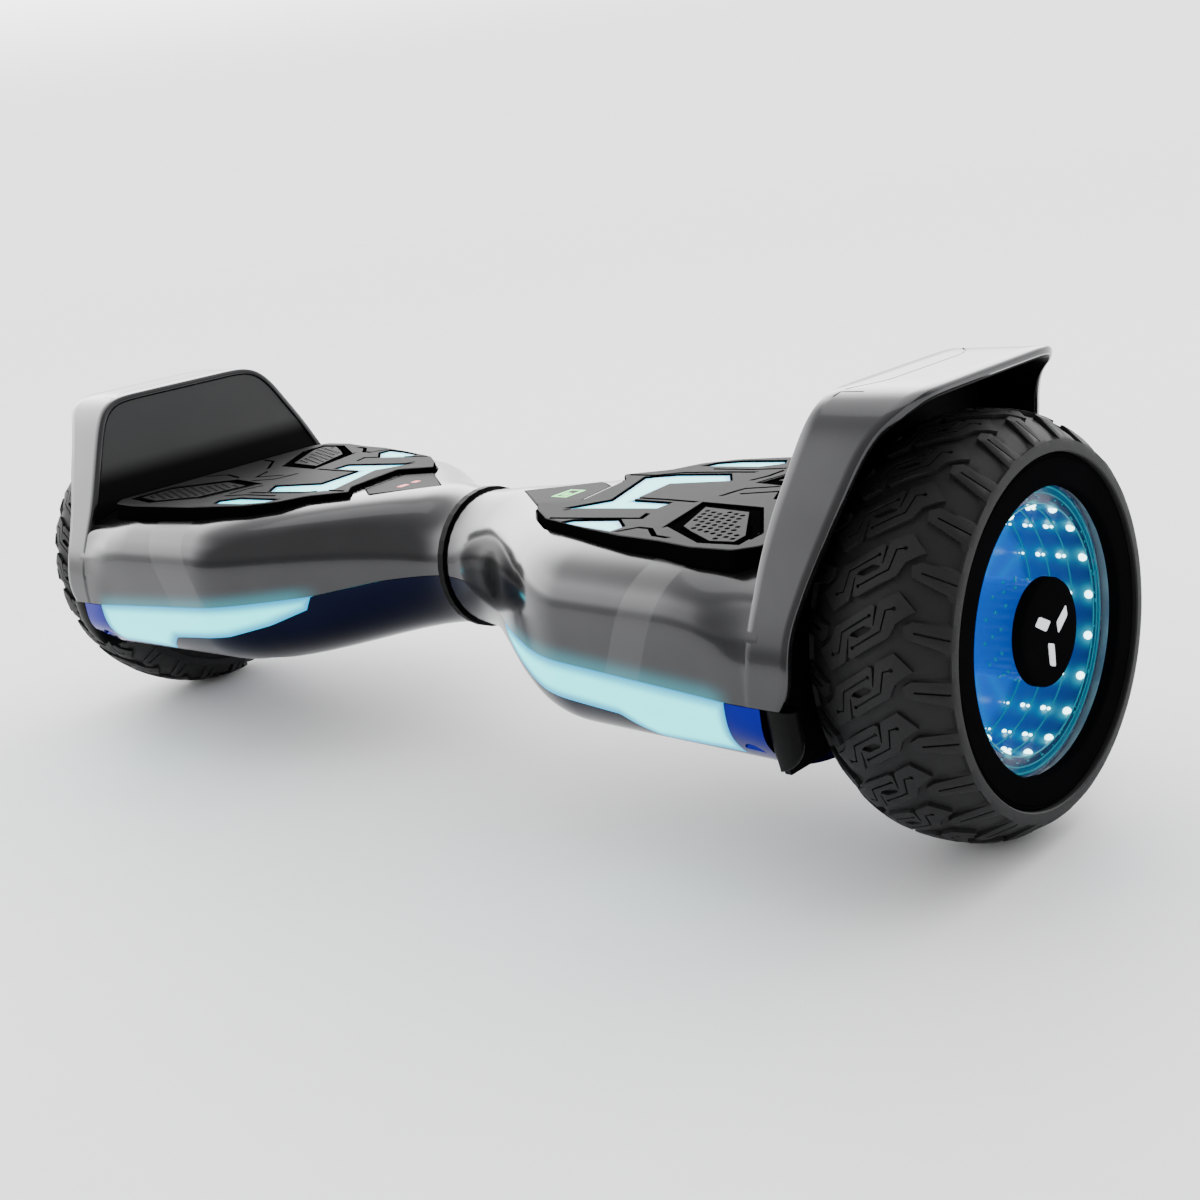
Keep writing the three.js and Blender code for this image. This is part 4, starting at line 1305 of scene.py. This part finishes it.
def hub_spacer():
    profile = [(WELL_FLOOR_X + 0.3, 0)] + [(WELL_FLOOR_X + 0.3, 19.5)]
    profile += [(mix(WELL_FLOOR_X + 2, 303.8, t / 12), 19.5) for t in range(13)] + [(303.8, 0)]
    piece = lathe("right_hub_spacer_lit", profile, steps=72)
    # Painted light: the spacer gives off blue, darker deeper in, though it is no lamp.
    colours = piece.data.attributes.new("glow_colour", "FLOAT_COLOR", "POINT")
    for item, vertex in zip(colours.data, piece.data.vertices):
        share = clamp01((vertex.co.x / MM - WELL_FLOOR_X) / 30)
        item.color = (0.0, mix(0.14, 0.05, share), mix(0.85, 0.42, share), 1)
    return piece


def bezel():
    return lathe("right_bezel_gloss", [
        (304.9, 56.0), (308.6, 56.0), (309.2, 56.2), (309.6, 56.7), (309.6, 66.3), (309.2, 66.5),
        (309.0, 66.8), (309.2, 67.1), (309.4, 67.3), (309.2, 68.0), (308.6, 68.4), (304.9, 68.4)])


def hub_cap():
    return lathe("right_hub_cap_gloss", [
        (304.2, 0), (304.2, 20.8), (304.6, 21.2), (307.9, 21.2), (308.8, 20.8), (309.3, 20.0), (309.6, 18.8),
        (309.6, 0)], steps=96)


def turbine_mark():
    """Three slanting bars set round the middle of the cap."""
    bars = []
    for k in range(3):
        turn = math.radians(120 * k + 20)
        bar = rounded([(3.6, -3.2), (12.6, -1.2), (13.6, 3.2), (4.6, 1.6)], 1.0)
        outline = [(u * math.cos(turn) - v * math.sin(turn), AXLE_Z + u * math.sin(turn) + v * math.cos(turn))
                   for u, v in bar]
        bars.append(prism(outline, "x", 309.3, 309.8))
    return joined("right_cap_mark", bars)


WHEEL_LOOKS = [
    (light_well(), "well", "led_ring", "light_well"), (lamp_rings(), "dot", "led_ring", None),
    (light_lines(), "line", "led_ring", None), (hub_spacer(), "well", "blue_core", "hub_spacer"),
    (bezel(), "gloss", "gloss_black", "bezel_ring"), (hub_cap(), "gloss", "gloss_black", "hub_cap"),
    (turbine_mark(), "mark", "gloss_black", None),
]
for piece, finish, slot, node in WHEEL_LOOKS:
    both_sides(shade(piece), mirrored_copy, MATERIALS[finish], "wheel", slot, node)

# ------------------------------------------------------------------ status icons
place(icon("right_battery_icon", [
    [(58, -9), (60, -9), (60, 5), (58, 5)], [(66, -9), (68, -9), (68, 5), (66, 5)],
    [(60, -9), (66, -9), (66, -7.6), (60, -7.6)], [(60, 3.6), (66, 3.6), (66, 5), (60, 5)],
    [(61.3, -6), (64.7, -6), (64.7, -1), (61.3, -1)]]), MATERIALS["green"], "right_half", "cyan_light")
place(icon("left_bars_icon", [
    [(-60, -6), (-56, -6), (-56, 0), (-60, 0)], [(-60, 4), (-56, 4), (-56, 8), (-60, 8)]]),
    MATERIALS["red"], "left_half", "cyan_light")

# ------------------------------------------------------------------ the frame's own pieces that show
KEPT = {
    "axle_clamp": "steel", "gyro_board": "board", "motor_rim": "aluminium",
    "motor_cover": "aluminium", "bearing_inner": "steel", "bearing_outer": "steel", "axle": "steel",
    "stator": "copper", "chassis": "aluminium", "underglow_lens": "diffuser", "infinity_lens": "clear",
    "pivot_tube": "steel", "pivot_bush": "bronze", "pivot_clip": "steel", "seam_ring": "black",
    "battery_pack": "battery", "controller_board": "board", "speaker": "black", "power_button": "black",
    "charge_port": "black", "charge_cover": "cover",
}
for node_name, node in nodes.items():
    key = node_name.removeprefix("left_").removeprefix("right_")
    if key in KEPT:
        node.data.materials.clear()
        node.data.materials.append(MATERIALS[KEPT[key]])


# ------------------------------------------------------------------ floor and light
def make_stage():
    material = plain("studio_floor", (0.86, 0.86, 0.87), (0.9, 0.9, 0.91), (0.5, 0.7), grain=0.004)
    size = 6000
    corners = [(-size, -size, -0.2), (size, -size, -0.2), (size, size, -0.2), (-size, size, -0.2)]
    floor = solid("floor", corners, [[0, 1, 2, 3]], one_sided=True)
    floor.data.materials.append(material)


def area_light(name, location, target, size, power, colour=(1, 1, 1)):
    lamp = bpy.data.lights.new(name, "AREA")
    lamp.shape = "RECTANGLE"
    lamp.size, lamp.size_y = size
    lamp.energy = power
    lamp.color = colour
    source = bpy.data.objects.new(name, lamp)
    source.location = location
    source.rotation_euler = (Vector(target) - Vector(location)).to_track_quat("-Z", "Y").to_euler()
    bpy.context.scene.collection.objects.link(source)


# World brightness: behind the board at the horizon, in a band above it and overhead; in front, low and high.
REAR_LIGHT = (2.6, 8.0, 2.0)
FRONT_LIGHT = (0.5, 0.8)


def make_world():
    """Soft studio light: brighter behind and above the board than in front of it."""
    world = bpy.data.worlds.new("studio")
    world.use_nodes = True
    bpy.context.scene.world = world
    sky = Nodes(world.node_tree, "Generated")
    background = sky.tree.nodes["Background"]
    sky.feed(background.inputs["Color"], (1, 1, 1))
    x, y, z = sky.split(sky.where)
    behind = sky.maths("MULTIPLY", sky.maths("SUBTRACT", y, x), 0.7)
    rear = sky.ramp(behind, -0.35, 0.55)
    lift, fall = sky.ramp(z, 0.06, 0.22), sky.ramp(z, 0.45, 0.75)
    low, band, high = REAR_LIGHT
    rear_level = sky.maths("ADD", sky.maths("MULTIPLY", lift, band - low), low)
    rear_level = sky.maths("ADD", rear_level, sky.maths("MULTIPLY", fall, high - band))
    front_low, front_high = FRONT_LIGHT
    front_level = sky.maths("ADD", sky.maths("MULTIPLY", lift, front_high - front_low), front_low)
    change = sky.maths("MULTIPLY", rear, sky.maths("SUBTRACT", rear_level, front_level))
    sky.feed(background.inputs["Strength"], sky.maths("ADD", front_level, change))


make_stage()
make_world()
area_light("overhead", (-0.1, 0.6, 2.0), (0, 0, 0), (2.6, 2.0), 20)
